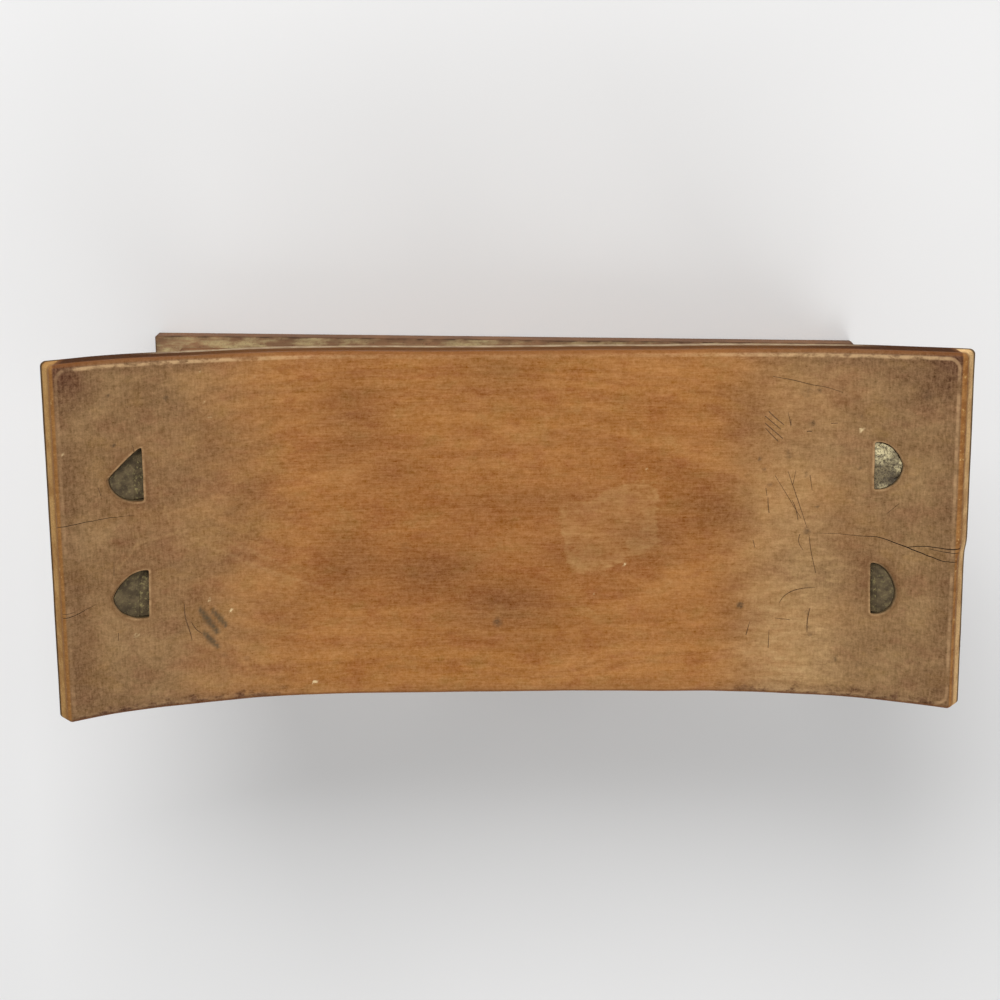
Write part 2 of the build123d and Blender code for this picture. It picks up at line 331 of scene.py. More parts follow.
def post_axes(corner):
    """Foot, head and the three directions of a post: outwards, sideways, up."""
    side_x, side_y = corners[corner]
    foot = Vector(settle_askew([(side_x * foot_x, side_y * foot_y, block_top)])[0])
    head = Vector((side_x * mortise_x, side_y * mortise_y, float(seat_top(mortise_x))))
    up = (head - foot).normalized()
    side = Vector((side_x, 0, 0))
    outwards = (side - up * side.dot(up)).normalized()
    return foot, head, outwards, up.cross(outwards), up


def post_length(corner):
    """How long a post is along its axis, from the base's top to the seat's."""
    foot, head, _, _, _ = post_axes(corner)
    return (head - foot).length


def half_round(grow=0.0, cut=0.0, count=84, softness=1):
    """A half-round outline, larger all round than the tenon's by grow, whose flat side
    is cut back, as evenly spaced points with a softened corner."""
    radius = tenon_radius + grow
    flat = cut if cut else -grow
    start = asin(max(flat - tenon_stem, 0) / radius)
    half_chord = radius * cos(start)
    path = [(flat, -half_chord), (flat, half_chord)]
    if flat < tenon_stem:
        path.append((tenon_stem, half_chord))
    for angle in np.linspace(pi / 2 - start, start - pi / 2, 60):
        path.append((tenon_stem + radius * cos(angle), radius * sin(angle)))
    path.append((flat, -half_chord))
    path = np.array(path)
    lengths = np.concatenate(([0], np.cumsum(np.hypot(*np.diff(path, axis=0).T))))
    even = np.linspace(0, lengths[-1], count, endpoint=False)
    ring = np.stack([np.interp(even, lengths, path[:, axis]) for axis in (0, 1)], axis=1)
    for _ in range(softness):
        ring = (np.roll(ring, 1, axis=0) + 2 * ring + np.roll(ring, -1, axis=0)) / 4
    return ring


def stand_up(corner, ring, height):
    """Puts an outline on a post's axis, at a height up the post."""
    foot, _, outwards, sideways, up = post_axes(corner)
    return np.array([foot + outwards * a + sideways * b + up * height for a, b in ring])


def cut_by_eye(corner, points):
    """Moves points of a tenon or its mortise to where they came out."""
    side_x, _ = corners[corner]
    cut = hand_cut[corner]
    _, head, _, _, up = post_axes(corner)
    offset = points[:, :2] - np.array([head.x, head.y])
    lean = np.array([up.x, up.y]) / up.z
    offset = offset - (points[:, 2:] - head.z) * lean
    middle = np.array([side_x * tenon_radius / 2, 0])
    offset = (offset - middle) * (cut["across"], cut["along"]) + middle * cut["across"]
    upper = np.clip(offset[:, 1] / tenon_radius, 0, 1)
    offset[:, 0] *= 1 - cut["keen"] * (1 - np.sqrt((1 - upper) / (1 + upper)))
    offset[:, 1] -= cut["sag"] * np.maximum(side_x * offset[:, 0], 0)
    turn = radians(cut["turn"])
    turned_x = offset[:, 0] * cos(turn) - offset[:, 1] * sin(turn)
    turned_y = offset[:, 0] * sin(turn) + offset[:, 1] * cos(turn)
    out = points.copy()
    out[:, 0] = head.x + turned_x + side_x * cut["out"]
    out[:, 1] = head.y + turned_y + cut["back"]
    out[:, :2] += (points[:, 2:] - head.z) * lean
    return out


def tenon_ring(corner, outline, height):
    """An outline of a tenon or its mortise as it came out, at a height up the post."""
    return cut_by_eye(corner, stand_up(corner, outline, height))


def loft(rings, caps=True):
    """Points and faces of a skin over rings with equal numbers of points."""
    count = len(rings[0])
    points = np.concatenate(rings)
    faces = []
    for level in range(len(rings) - 1):
        for i in range(count):
            j = (i + 1) % count
            low, high = level * count, (level + 1) * count
            faces.append((low + i, low + j, high + j, high + i))
    if caps:
        last = (len(rings) - 1) * count
        faces.append(tuple(range(count)))
        faces.append(tuple(last + i for i in range(count)))
    return points, faces


def carve(piece, cutter, operation="DIFFERENCE"):
    """Cuts or adds one closed shape, and keeps the cutter's finish on the new faces."""
    change = piece.modifiers.new("carve", "BOOLEAN")
    change.operation = operation
    change.solver = "MANIFOLD"
    change.material_mode = "TRANSFER"
    change.object = cutter
    settled(piece)
    bpy.data.objects.remove(cutter)


def settled(piece):
    """Makes a piece's modifiers permanent."""
    whole = piece.evaluated_get(bpy.context.evaluated_depsgraph_get())
    mesh = bpy.data.meshes.new_from_object(whole)
    old = piece.data
    piece.modifiers.clear()
    piece.data = mesh
    mesh.name = piece.name
    bpy.data.meshes.remove(old)


def smooth(piece, angle=35):
    """Shades a piece smooth, but for edges sharper than an angle in degrees."""
    piece.data.shade_smooth()
    piece.data.set_sharp_from_angle(angle=radians(angle))


# Splits and cuts in the top, as x, y and width, from one end to the other. The depth
# of a split follows its width.
splits = [
    [(-290, 12.5, 0.45), (-279, 13.3, 0.4), (-265, 14.6, 0.35), (-252, 15.5, 0.3),
     (-238, 15.3, 0.1)],
    [(-290, -44.9, 0.5), (-281, -45.8, 0.45), (-275.5, -44.6, 0.4), (-271, -42.3, 0.35),
     (-263, -39.3, 0.1)],
    [(-290, -42.7, 0.35), (-279, -43.3, 0.35), (-275, -42.1, 0.1)],
    [(197, -4.4, 0.12), (212, -4.3, 0.25), (225, -5, 0.3), (235, -4.6, 0.45), (244.5, -7.6, 0.6),
     (256, -11.6, 0.7), (266, -14.9, 0.6), (275, -17.9, 0.5), (290, -17.2, 0.35)],
    [(253, -10.3, 0.4), (263, -8.6, 0.5), (271, -9.1, 0.5), (278, -9.9, 0.6), (290, -8.3, 0.8)],
    [(266, -10.3, 0.2), (272, -11.3, 0.35), (279, -11.9, 0.4), (290, -12.3, 0.6)],
]
split_slope = 16.0  # depth over width
scratches = [
    [(166.2, 74.6, 0.7), (170.5, 70.3, 0.8), (175.8, 66.1, 0.6)],
    [(163.9, 71.6, 0.6), (168.5, 67.7, 0.7), (173.8, 63.2, 0.6)],
    [(164, 67, 0.6), (170, 61.7, 0.8), (175.3, 57.1, 0.7)],
    [(164.4, 63.7, 0.4), (167.9, 59.8, 0.7), (172.5, 55.2, 0.6)],
    [(168.4, 97.3, 0.3), (182, 94.9, 0.6), (193.2, 91.9, 0.5), (201, 91, 0.4), (211.6, 87.5, 0.3)],
    [(175.3, -52.1, 0.3), (177.7, -47.3, 0.5), (184, -43, 0.6), (192.7, -41, 0.5),
     (197.8, -40.7, 0.2)],
    [(191.8, -1.3, 0.3), (184.7, 19.6, 0.5), (179, 35.8, 0.3)],
    [(193.1, -5.9, 0.3), (194.4, -16, 0.5), (197.9, -31, 0.4)],
    [(170.9, 33, 0.25), (180, 18, 0.35), (187.7, 5.3, 0.3)],
    [(-258.4, 35.4, 0.5), (-256.9, 30.1, 0.6)],
    [(-251.3, -13.3, 0.3), (-251.7, -22.4, 0.5)],
    [(-250.8, -60.1, 0.5), (-251, -65.4, 0.4)],
    [(-237.1, 60.5, 0.3), (-235.5, 56.5, 0.9), (-236.5, 53.5, 0.6)],
    [(180.1, 69.7, 0.4), (180.2, 65.8, 0.7)],
    [(190.2, 61.9, 0.5), (193.3, 62, 0.5)],
    [(204.8, 67.5, 0.5), (209.1, 67.8, 0.5)],
    [(240, 10.3, 0.3), (247, 17.3, 0.4)],
    [(-209.8, -45.7, 0.4), (-210.1, -52.4, 0.9), (-208.9, -58.4, 0.9), (-206.8, -65.3, 0.8),
     (-206, -70.6, 0.4)],
    [(-206.2, -57.9, 0.3), (-204.6, -61.8, 0.7), (-202.2, -65, 0.7), (-199.5, -66.7, 0.4)],
    [(178.2, 74.2, 0.2), (179.4, 70, 0.4), (180.2, 65.2, 0.3)],
    [(190.2, 62.2, 0.4), (193.9, 62.3, 0.3)],
    [(166.8, 18.5, 0.3), (166.9, 12.5, 0.7), (167.7, 7.9, 0.5)],
    [(165.4, 24.4, 0.4), (166.2, 19.1, 0.3)],
    [(184, 36.6, 0.2), (182.3, 27.4, 0.4)],
    [(192.8, 33.6, 0.4), (194.3, 23.8, 0.3)],
    [(182, 16.8, 0.3), (184.6, 11.7, 0.6), (186, 3.8, 0.4)],
    [(187.5, -5.5, 0.4), (185.7, -10.8, 0.5), (189.6, -16, 0.3)],
    [(194.9, -54.6, 0.4), (193.2, -62.8, 0.8), (193.4, -70.9, 0.4)],
    [(156.9, -64.7, 0.3), (154.5, -74.3, 0.6)],
    [(169.3, -70.5, 0.3), (168.9, -82.8, 0.5)],
    [(172.9, -62.3, 0.3), (182.5, -63.3, 0.4)],
    [(157.8, -10.2, 0.4), (159.2, -15.5, 0.4)],
]
scratch_depth = 0.4
blade_step = 2.0


def blade(line, slope):
    """A V-shaped cutter that follows a line over the board's top, as deep as its width
    times a slope."""
    rows = []
    for (x0, y0, wide0), (x1, y1, wide1) in zip(line, line[1:]):
        pieces = max(1, round(hypot(x1 - x0, y1 - y0) / blade_step))
        for i in range(pieces):
            t = i / pieces
            rows.append((x0 + t * (x1 - x0), y0 + t * (y1 - y0), wide0 + t * (wide1 - wide0)))
    rows.append(line[-1])
    rows = np.array(rows)
    rows[:, 0] = along_board(rows[:, 0])
    for _ in range(4):
        rows[1:-1] = (rows[:-2] + 2 * rows[1:-1] + rows[2:]) / 4
    if slope > 1:
        rows[1:-1, 1] += 0.3 * ripple(rows[1:-1] * (1, 1, 0), 4, 3.3)
    run = np.gradient(rows[:, :2], axis=0)
    across = np.stack((-run[:, 1], run[:, 0]), axis=1) / np.hypot(*run.T)[:, None]
    sections = []
    for (s, y, width), (side_s, side_y) in zip(rows, across):
        deep = slope * width
        above = min(0.4, deep)
        half = width / 2 * (1 + above / deep)
        left = (s + side_s * half, y + side_y * half, above)
        right = (s - side_s * half, y - side_y * half, above)
        sections.append(np.array([left, right, (s, y, -deep)]))
    points, faces = loft(sections)
    return bend(points), faces


board_points, board_faces = rounded_slab(
    board_half, seat_depth / 2, board_thickness, corner_radius, edge_radius, board_grid, fine_grid
)
seat = mesh_piece("seat_board", bend(board_points), board_faces)
seat_wood, split_dirt_and_shade, scored_wood = (
    bpy.data.materials.new(name) for name in ("seat_wood", "split_dirt_and_shade", "scored_wood")
)
seat.data.materials.append(seat_wood)


def cut_seat(shape, finish, operation="DIFFERENCE"):
    """Cuts a closed shape out of the seat, or adds it, with its own finish."""
    cutter = mesh_piece("cutter", *shape)
    cutter.data.materials.append(finish)
    carve(seat, cutter, operation)


# Half-moon lugs stand under the board where the posts come up, and a round boss is
# left where the drum stands, with a socket for its spigot.
boss_drop = 6.0
boss_margin = 7.0
root = 5.0  # how far a mesh runs on past the face that it meets
rounding = 1.5
drum_end_radius = 50.0
spigot_radius = 40.0
spigot_length = 12.0
boss_radius = drum_end_radius + boss_margin
boss_bottom = seat_height - board_thickness - boss_drop


def disc(radius, z, count=96):
    """A round outline at a height."""
    turns = np.linspace(0, 2 * pi, count, endpoint=False)
    return np.stack((radius * np.cos(turns), radius * np.sin(turns), np.full(count, z)), axis=1)


boss = [
    disc(boss_radius - rounding, boss_bottom),
    disc(boss_radius, boss_bottom + rounding),
    disc(boss_radius + 1.0, boss_bottom + boss_drop + root),
]
cut_seat(loft(boss), seat_wood, "UNION")
socket = [
    disc(spigot_radius + joint_gap, boss_bottom - root),
    disc(spigot_radius + joint_gap, boss_bottom + spigot_length + joint_gap),
]
cut_seat(loft(socket), seat_wood)

# The mouth of a mortise flares where it is worn, most of all on its round side. Each
# pair is a depth below the seat's top, and how much of the wear has reached it.
mouth_flare = ((4.0, 0.0), (2.6, 0.12), (1.4, 0.4), (0.5, 0.85), (-0.2, 1.3), (-4.0, 3.4))
least_wear = 0.12
mouth_raggedness = 0.25
mouth_middle = tenon_stem + 4  # from the flat side, where the wear spreads from

for corner in corners:
    _, head, _, _, up = post_axes(corner)
    reach = post_length(corner)
    lug_bottom = reach - shoulder_depth
    lug_grow = shoulder_width + lug_margin
    lug = [
        stand_up(corner, half_round(lug_grow - rounding, softness=5), lug_bottom),
        stand_up(corner, half_round(lug_grow, softness=5), lug_bottom + rounding),
        stand_up(corner, half_round(lug_grow, softness=5), reach - end_thickness / 2 - 2),
    ]
    cut_seat(loft(lug), seat_wood, "UNION")

    outline = half_round(joint_gap)
    outward = outline - (mouth_middle, 0)
    outward = outward / np.hypot(*outward.T)[:, None]
    from_flat = np.clip(outline[:, :1] / (tenon_radius + tenon_stem), 0, 1)
    wear = least_wear + (mouth_wear[corner] - least_wear) * from_flat
    mouth = [tenon_ring(corner, outline, lug_bottom - root)]
    for depth, open_share in mouth_flare:
        ring = tenon_ring(corner, outline + outward * (wear * open_share), reach)
        slope = (seat_top(ring[:, 0]) - head.z) - (ring[:, 2] - head.z)
        ring = ring + np.array(up) * (slope - depth)[:, None] / up.z
        ragged = mouth_raggedness * ripple(ring, 3.5, 9.1)[:, None]
        ring[:, :2] += outward * corners[corner][0] * ragged * (open_share > 0)
        mouth.append(ring)
    cut_seat(loft(mouth), seat_wood)

for line in splits:
    cut_seat(blade(line, split_slope), split_dirt_and_shade)
for line in scratches:
    widths = [width for _, _, width in line]
    cut_seat(blade(line, scratch_depth / np.mean(widths)), scored_wood)
smooth(seat, 32)

# Marks on the top, as x, y, radius and strength: stains, then pale specks, some of which are painted
# glints.
stains = [
    (189.9, 87.2, 6.0, 0.4), (150.3, -54.1, 2.8, 0.9), (-7.7, -65, 4.0, 0.7),
    (-67.7, -12.7, 5.5, 0.3), (-172, -85, 2.5, 0.4), (-185.8, -82, 3.0, 0.4),
    (-248.6, 60.9, 1.2, 1.3), (-249.6, 92.6, 1.6, 0.7), (-215.6, 89.1, 2.0, 0.9),
    (223.5, 72.4, 1.3, 0.8), (211.1, -87.9, 1.5, 1.0), (225.2, -90.5, 3.0, 0.4),
    (193.7, 67.3, 2.2, 0.8), (197.2, 88.4, 2.2, 0.6), (-49.4, 115.3, 3.0, 0.5),
    (193, -57.7, 2.0, 0.6), (193.5, -67.7, 2.2, 0.5), (262, 88.3, 5.0, 0.45),
    (161.3, 43.1, 1.5, 0.7), (179.4, 45.9, 2.8, 0.55), (163.9, 36.2, 1.6, 0.8),
    (190.7, 33.9, 1.6, 0.8), (191.8, -3.3, 3.0, 0.7), (192.6, 66.8, 2.4, 0.5),
    (197.6, 12.8, 1.6, 0.7), (192.7, -39.9, 3.0, 0.4), (167.9, 26.4, 2.2, 0.5),
    (161.3, 44, 1.8, 0.5), (153.2, 32.7, 2.4, 0.4), (195.3, -72.2, 2.0, 0.6),
    (178.7, 48.2, 2.6, 0.4), (180.9, -49.8, 1.8, 0.4), (223.2, 39.2, 1.6, 0.7),
    (-100.5, -86.0, 2.0, 0.4),
]
specks_and_glints = [
    (-277.4, 58.4, 1.1, 0.6), (223.7, 64.4, 1.6, 1.0), (88.5, 36, 1.2, 0.7), (75.3, -26.5, 1.2, 0.8),
    (54.8, -45.9, 1.1, 0.6), (-239.8, -63.5, 2.0, 0.5), (-243.5, -64.5, 1.5, 0.4),
    (-193.8, -43.9, 1.5, 0.7), (-180.8, -52.1, 1.6, 0.8), (-128.4, -103.4, 1.7, 1.0),
    # The six from here to (60, 64.3) are painted glints on the polish.
    (-194.3, 104.5, 1.6, 0.4), (-192.6, 85.3, 1.4, 0.4), (-189.3, 74.8, 1.4, 0.5),
    (-197, 108.3, 1.3, 0.5), (-161, 100.3, 1.4, 0.4), (60, 64.3, 1.1, 0.6),
    (286, -10.5, 4.0, 0.55), (284, -14.8, 2.5, 0.4), (-237, 36, 2.5, 0.3), (-243, 36.5, 1.8, 0.4),
]
# Soot rubbed off in three smears, and a long pale scrape, as x, y and half-width.
smears = [
    [(-200, -50, 1.8), (-196, -57, 2.8), (-190, -66, 2.2)],
    [(-192.5, -51, 1.6), (-188, -57, 2.4), (-184.5, -62, 1.8)],
    [(-198, -66, 1.6), (-194.5, -71, 2.6), (-190, -76, 1.8)],
]
scrapes = [
    [(-221.7, 28.9, 1.2), (-220.2, 20.4, 1.4), (-217, 10.3, 1.4), (-210.6, 2, 1.4),
     (-198.6, -6.8, 1.6), (-183.2, -13.7, 1.6), (-160.2, -25.6, 2.0), (-136.1, -34.5, 1.8),
     (-111.1, -43.9, 1.2)],
    [(-205, -2, 1.2), (-185, -4.5, 1.8), (-165, -14, 2.2), (-140, -27, 1.2)],
    [(-250, -20, 1.4), (-236, -3, 1.5), (-205, 3, 1.2)],
]
# Wide darker clouds where hands and sweat have stained the wood, as x, y, half-length,
# half-width and strength.
clouds = [
    (-5, 100, 24, 14, 0.5), (-6, -53, 30, 16, 0.8), (-50, -30, 32, 14, 0.8), (-100, 75, 22, 30, 0.6),
    (-105, -22, 20, 18, 0.7), (91, -7, 22, 14, 0.8), (46, -20, 26, 10, 0.5), (155, 60, 14, 30, 0.5),
    (157, -65, 16, 16, 0.4), (219, -15, 24, 36, 0.6), (190, 70, 14, 20, 0.5), (222, 83, 20, 16, 0.4),
    (-233, 10, 22, 60, 0.7), (-268, -63, 10, 30, 0.4), (-200, -45, 16, 16, 0.5),
    (-200, -84, 16, 16, 0.4), (-192, 60, 8, 20, 0.4), (20, 17, 60, 8, 0.4),
    (130, 10, 26, 22, 0.6), (-75, 40, 20, 12, 0.4),
]
# A patch near the middle where the polish was rubbed off.
rubbed_outline = [
    (32, 13.3), (40, 15), (52, 14.3), (58, 20.3), (66, 24.3), (78, 28.3), (88, 29.3), (95, 24.8),
    (98, 15.8), (95, 6), (96, -3.7), (100, -16.7), (78.5, -22.7), (63.5, -29.2), (47, -33.7),
    (41, -31.7), (37, -23.2), (34, -3.2),
]


def outline_distance(places, outline):
    """Distance to a closed outline, positive inside it."""
    nearest = np.full(len(places), 1e6)
    inside = np.zeros(len(places), bool)
    for (x0, y0), (x1, y1) in zip(outline, outline[1:] + outline[:1]):
        run = np.array((x1 - x0, y1 - y0))
        t = np.clip((places - (x0, y0)) @ run / (run @ run), 0, 1)
        nearest = np.minimum(nearest, np.hypot(*(places - (x0, y0) - t[:, None] * run).T))
        crosses = (y0 > places[:, 1]) != (y1 > places[:, 1])
        if y0 != y1:
            inside ^= crosses & (places[:, 0] < x0 + (places[:, 1] - y0) * (x1 - x0) / (y1 - y0))
    return np.where(inside, nearest, -nearest)


def fading_lines(places, lines):
    """1 on the lines and down to 0 at their own width from them."""
    strength = np.zeros(len(places))
    for line in lines:
        for (x0, y0, wide0), (x1, y1, wide1) in zip(line, line[1:]):
            run = np.array((x1 - x0, y1 - y0))
            t = np.clip((places - (x0, y0)) @ run / (run @ run), 0, 1)
            away = np.hypot(*(places - (x0, y0) - t[:, None] * run).T)
            strength = np.maximum(strength, 1 - away / (wide0 + t * (wide1 - wide0)) / 1.4)
    return np.clip(strength, 0, 1)


def keep(piece, name, values):
    """Stores one number for each point of a piece."""
    piece.data.attributes.new(name, "FLOAT", "POINT").data.foreach_set("value", values)


def places_of(piece):
    """A piece's points, in millimetres."""
    count = len(piece.data.vertices)
    flat = np.empty(count * 3)
    piece.data.vertices.foreach_get("co", flat)
    return flat.reshape(count, 3) * 1000


def spots(places, marks):
    """1 inside round marks, fading across their rims, times their strength."""
    strongest = np.zeros(len(places))
    for x, y, radius, strength in marks:
        away = np.hypot(places[:, 0] - x, places[:, 1] - y)
        strongest = np.maximum(strongest, strength * np.clip(1.4 - away / radius, 0, 1))
    return strongest


where = places_of(seat)
plan = where[:, :2]
below = seat_top(where[:, 0]) - where[:, 2]
on_top = below < 6
rubbed = outline_distance(plan, rubbed_outline)
keep(seat, "rubbed", np.where(on_top, rubbed, -50))
keep(seat, "smear", fading_lines(plan, smears) * on_top)
keep(seat, "scrape", fading_lines(plan, scrapes) * on_top)
keep(seat, "stain", spots(plan, stains) * on_top)
keep(seat, "speck", spots(plan, specks_and_glints) * on_top)
shade = np.zeros(len(plan))
for x, y, half_x, half_y, strength in clouds:
    away = np.hypot((plan[:, 0] - x) / half_x, (plan[:, 1] - y) / half_y)
    shade = np.maximum(shade, strength * np.exp(-(away**2) * 0.7))
keep(seat, "shade", shade)

# Where the surface lies: how far in from the ends and sides, and how deep in a mortise.
# The worn lines along the ends and sides meet in a round corner.
arris_corner = 10.0
run = along_board(where[:, 0])
end_inset = board_half - np.abs(run)
side_inset = half_width(run) - np.abs(where[:, 1] - crook(run))
keep(seat, "end_inset", end_inset)
keep(seat, "side_inset", side_inset)
at_corner = np.maximum(end_inset, side_inset) < arris_corner
round_inset = arris_corner - np.hypot(arris_corner - end_inset, arris_corner - side_inset)
keep(seat, "worn_line", np.where(at_corner, round_inset, np.minimum(end_inset, side_inset)))
keep(seat, "below", below)
in_mouth = np.zeros(len(plan))
lip = np.full(len(plan), 30.0)
for corner in corners:
    ring = tenon_ring(corner, half_round(joint_gap), post_length(corner))
    away = -outline_distance(plan, [tuple(p) for p in ring[:, :2].tolist()])
    lip = np.minimum(lip, np.abs(away) + 3 * (away < -1))
    sunk = np.clip(below / 3.5, 0, 1) * (away < mouth_wear[corner] + 1) * (below < 24)
    in_mouth = np.maximum(in_mouth, sunk)
keep(seat, "in_mouth", in_mouth)
keep(seat, "lip", np.where(on_top, lip, 30))


def paint(red, green, blue):
    """A colour as a painter's chart gives it, from 0 to 255, for the shaders."""
    parts = [value / 255 for value in (red, green, blue)]
    return [p / 12.92 if p < 0.04 else ((p + 0.055) / 1.055) ** 2.4 for p in parts] + [1.0]


class Finish:
    """A finish for wood, dirt or filler, built up node by node. Sizes are millimetres."""

    def __init__(self, material):
        self.material = material
        material.use_nodes = True
        self.tree = material.node_tree
        self.tree.nodes.clear()
        output = self.tree.nodes.new("ShaderNodeOutputMaterial")
        self.shader = self.tree.nodes.new("ShaderNodeBsdfPrincipled")
        self.tree.links.new(self.shader.outputs[0], output.inputs[0])
        metres = self.add("ShaderNodeTexCoord", {}).outputs["Object"]
        self.place = self.vector("SCALE", metres, 1000.0)
        self.normal = None
        self.colour = None

    def add(self, kind, inputs, **settings):
        node = self.tree.nodes.new(kind)
        for name, value in settings.items():
            setattr(node, name, value)
        for name, value in inputs.items():
            if isinstance(value, bpy.types.NodeSocket):
                self.tree.links.new(value, node.inputs[name])
            else:
                node.inputs[name].default_value = value
        return node

    def math(self, operation, first, second=0.0):
        return self.add("ShaderNodeMath", {0: first, 1: second}, operation=operation).outputs[0]

    def times(self, first, *others):
        for other in others:
            first = self.math("MULTIPLY", first, other)
        return first

    def plus(self, first, *others):
        for other in others:
            first = self.math("ADD", first, other)
        return first

    def most(self, first, *others):
        for other in others:
            first = self.math("MAXIMUM", first, other)
        return first

    def vector(self, operation, first, second):
        """Sums on places and colours, by another one, or by a plain number for SCALE."""
        inputs = {0: first, "Scale" if operation == "SCALE" else 1: second}
        return self.add("ShaderNodeVectorMath", inputs, operation=operation).outputs[0]

    def ease(self, value, low, high, start=0.0, end=1.0, kind="SMOOTHSTEP"):
        """Runs from start to end, slow at both, while a value runs from low to high."""
        inputs = {0: value, 1: low, 2: high, 3: start, 4: end}
        return self.add("ShaderNodeMapRange", inputs, interpolation_type=kind).outputs[0]

    def line(self, value, low, high, start=0.0, end=1.0):
        """Runs evenly from start to end while a value runs from low to high."""
        return self.ease(value, low, high, start, end, "LINEAR")

    def vary(self, grain, start, end):
        """Spreads the middle of a grain, where most of it lies, from start to end."""
        return self.line(grain, 0.3, 0.7, start, end)

    def mix(self, share, first, second):
        inputs = {0: share, 6: first, 7: second}
        return self.add("ShaderNodeMix", inputs, data_type="RGBA").outputs[2]

    def blend(self, grain, first, second, low=0.3, high=0.7):
        """Two colours that a grain mixes."""
        return self.mix(self.ease(grain, low, high), first, second)

    def coat(self, share, colour):
        """Lays a share of another colour over what is there."""
        self.colour = self.mix(share, self.colour, colour)

    def grain(self, size, detail=3.0, rough=0.55, shift=0.0):
        """Noise with a size of its own along X, Y and Z."""
        moved = self.vector("DIVIDE", self.place, size)
        moved = self.vector("ADD", moved, (shift, shift * 0.7, shift * 1.3))
        inputs = {"Vector": moved, "Scale": 1.0, "Detail": detail, "Roughness": rough}
        return self.add("ShaderNodeTexNoise", inputs).outputs["Fac"]

    def mark(self, name):
        return self.add("ShaderNodeAttribute", {}, attribute_name=name).outputs["Fac"]

    def axes(self):
        return self.add("ShaderNodeSeparateXYZ", {0: self.place}).outputs

    def tinted(self, colour, tone):
        """A colour made lighter or darker by a tone around 1."""
        return self.vector("SCALE", colour, tone)

    def flecked(self, colour, steps):
        """A colour made lighter or darker by the same few steps, out of 255, in red, green
        and blue."""
        grey = self.vector("SCALE", (0.0048, 0.0029, 0.0016), steps)
        return self.vector("MAXIMUM", self.vector("ADD", colour, grey), (0, 0, 0))

    def relief(self, height, depth):
        """Adds a relief whose height runs from 0 to 1 over a depth."""
        inputs = {"Strength": 1.0, "Distance": depth / 1000, "Height": height}
        if self.normal:
            inputs["Normal"] = self.normal
        self.normal = self.add("ShaderNodeBump", inputs).outputs[0]

    def done(self, rough):
        self.tree.links.new(self.colour, self.shader.inputs["Base Color"])
        self.tree.links.new(rough, self.shader.inputs["Roughness"])
        if self.normal:
            self.tree.links.new(self.normal, self.shader.inputs["Normal"])


# The log's heart lay well below the seat, so that its rings come out of the hollow top
# as long ovals.
log_heart_y = 2.0
log_heart_z = 88.0
log_lean = 0.0105
ring_width = 5.2

wood = Finish(seat_wood)
wood.shader.inputs["Specular IOR Level"].default_value = 0.05
place_x, place_y, place_z = wood.axes()
from_heart_y = wood.math("SUBTRACT", place_y, log_heart_y)
from_heart_z = wood.plus(place_z, wood.times(place_x, log_lean))
from_heart_z = wood.math("SUBTRACT", from_heart_z, log_heart_z)
squares = wood.plus(wood.math("POWER", from_heart_y, 2), wood.math("POWER", from_heart_z, 2))
drift = wood.line(wood.grain((120, 45, 45), 2), 0, 1, -9, 9)
ring_place = wood.math("DIVIDE", wood.plus(wood.math("SQRT", squares), drift), ring_width)
rings = wood.add(
    "ShaderNodeTexNoise",
    {"W": ring_place, "Scale": 1.0, "Detail": 2.5, "Roughness": 0.55},
    noise_dimensions="1D",
).outputs["Fac"]

cloud = wood.grain((70, 34, 34), 4, 0.6, 3.1)
blush = wood.grain((26, 15, 26), 4, 0.6, 6.6)
mottle = wood.grain((8, 5, 8), 5, 0.65, 8.4)
fibre = wood.grain((14, 1.1, 1.1), 3, 0.6, 1.7)
grit = wood.grain((3.4, 2.3, 2.3), 3, 0.95, 7.7)
strand = wood.grain((60, 3.2, 3.2), 3, 0.5, 5.2)
pore = wood.grain((3.4, 1.1, 1.1), 2, 0.5, 9.9)
hatch = wood.grain((1.2, 6, 6), 3, 0.6, 4.4)
dent = wood.grain((2.2, 2.0, 2.2), 4, 0.7, 6.1)
end_inset = wood.mark("end_inset")
side_inset = wood.mark("side_inset")
below = wood.mark("below")
from_middle = wood.math("ABSOLUTE", place_x)
from_axis = wood.math("ABSOLUTE", place_y)

# Warm brown in the hollow, redder at its heart, and here and there a blush or a dull spot.
warm = wood.blend(cloud, paint(154, 103, 54), paint(164, 113, 64))
warm = wood.mix(wood.ease(rings, 0.35, 0.7, 0.0, 0.35), warm, paint(132, 82, 44))
heart = wood.math("ABSOLUTE", wood.plus(place_x, 10))
heart = wood.plus(heart, wood.vary(cloud, -60, 60))
heart = wood.times(wood.ease(heart, 190, 60), wood.ease(from_axis, 85, 25), 0.3)
warm = wood.mix(heart, warm, paint(136, 82, 44))
# Greyer towards both ends: partly the worn wood's own colour, partly a painted sheen where the ends
# rise towards the light.
greyed = wood.blend(cloud, paint(127, 97, 65), paint(152, 121, 83))
greyed = wood.mix(wood.ease(rings, 0.35, 0.75, 0.0, 0.25), greyed, paint(112, 82, 53))
toward_end = wood.ease(wood.plus(end_inset, wood.vary(cloud, -22, 22)), 175, 45)
wood.colour = wood.mix(toward_end, warm, greyed)
redder = wood.mix(toward_end, paint(136, 78, 44), paint(128, 88, 62))
wood.coat(wood.ease(blush, 0.5, 0.68, 0, 0.35), redder)
wood.coat(wood.ease(blush, 0.48, 0.32, 0, 0.25), paint(150, 116, 66))
wood.coat(wood.times(wood.mark("shade"), wood.vary(mottle, 0.4, 0.85)), paint(102, 62, 38))

# Right of the hollow, hands and knives have scuffed the polish off.
scuffed = wood.plus(place_x, wood.vary(cloud, -12, 12))
scuffed = wood.times(
    wood.ease(scuffed, 125, 180),
    wood.ease(scuffed, 225, 195),
    wood.line(place_y, 105, -105, 0.25, 0.85),
    wood.vary(mottle, 0.4, 1.1),
    wood.vary(strand, 0.6, 1.1),
)
wood.coat(scuffed, paint(172, 139, 96))

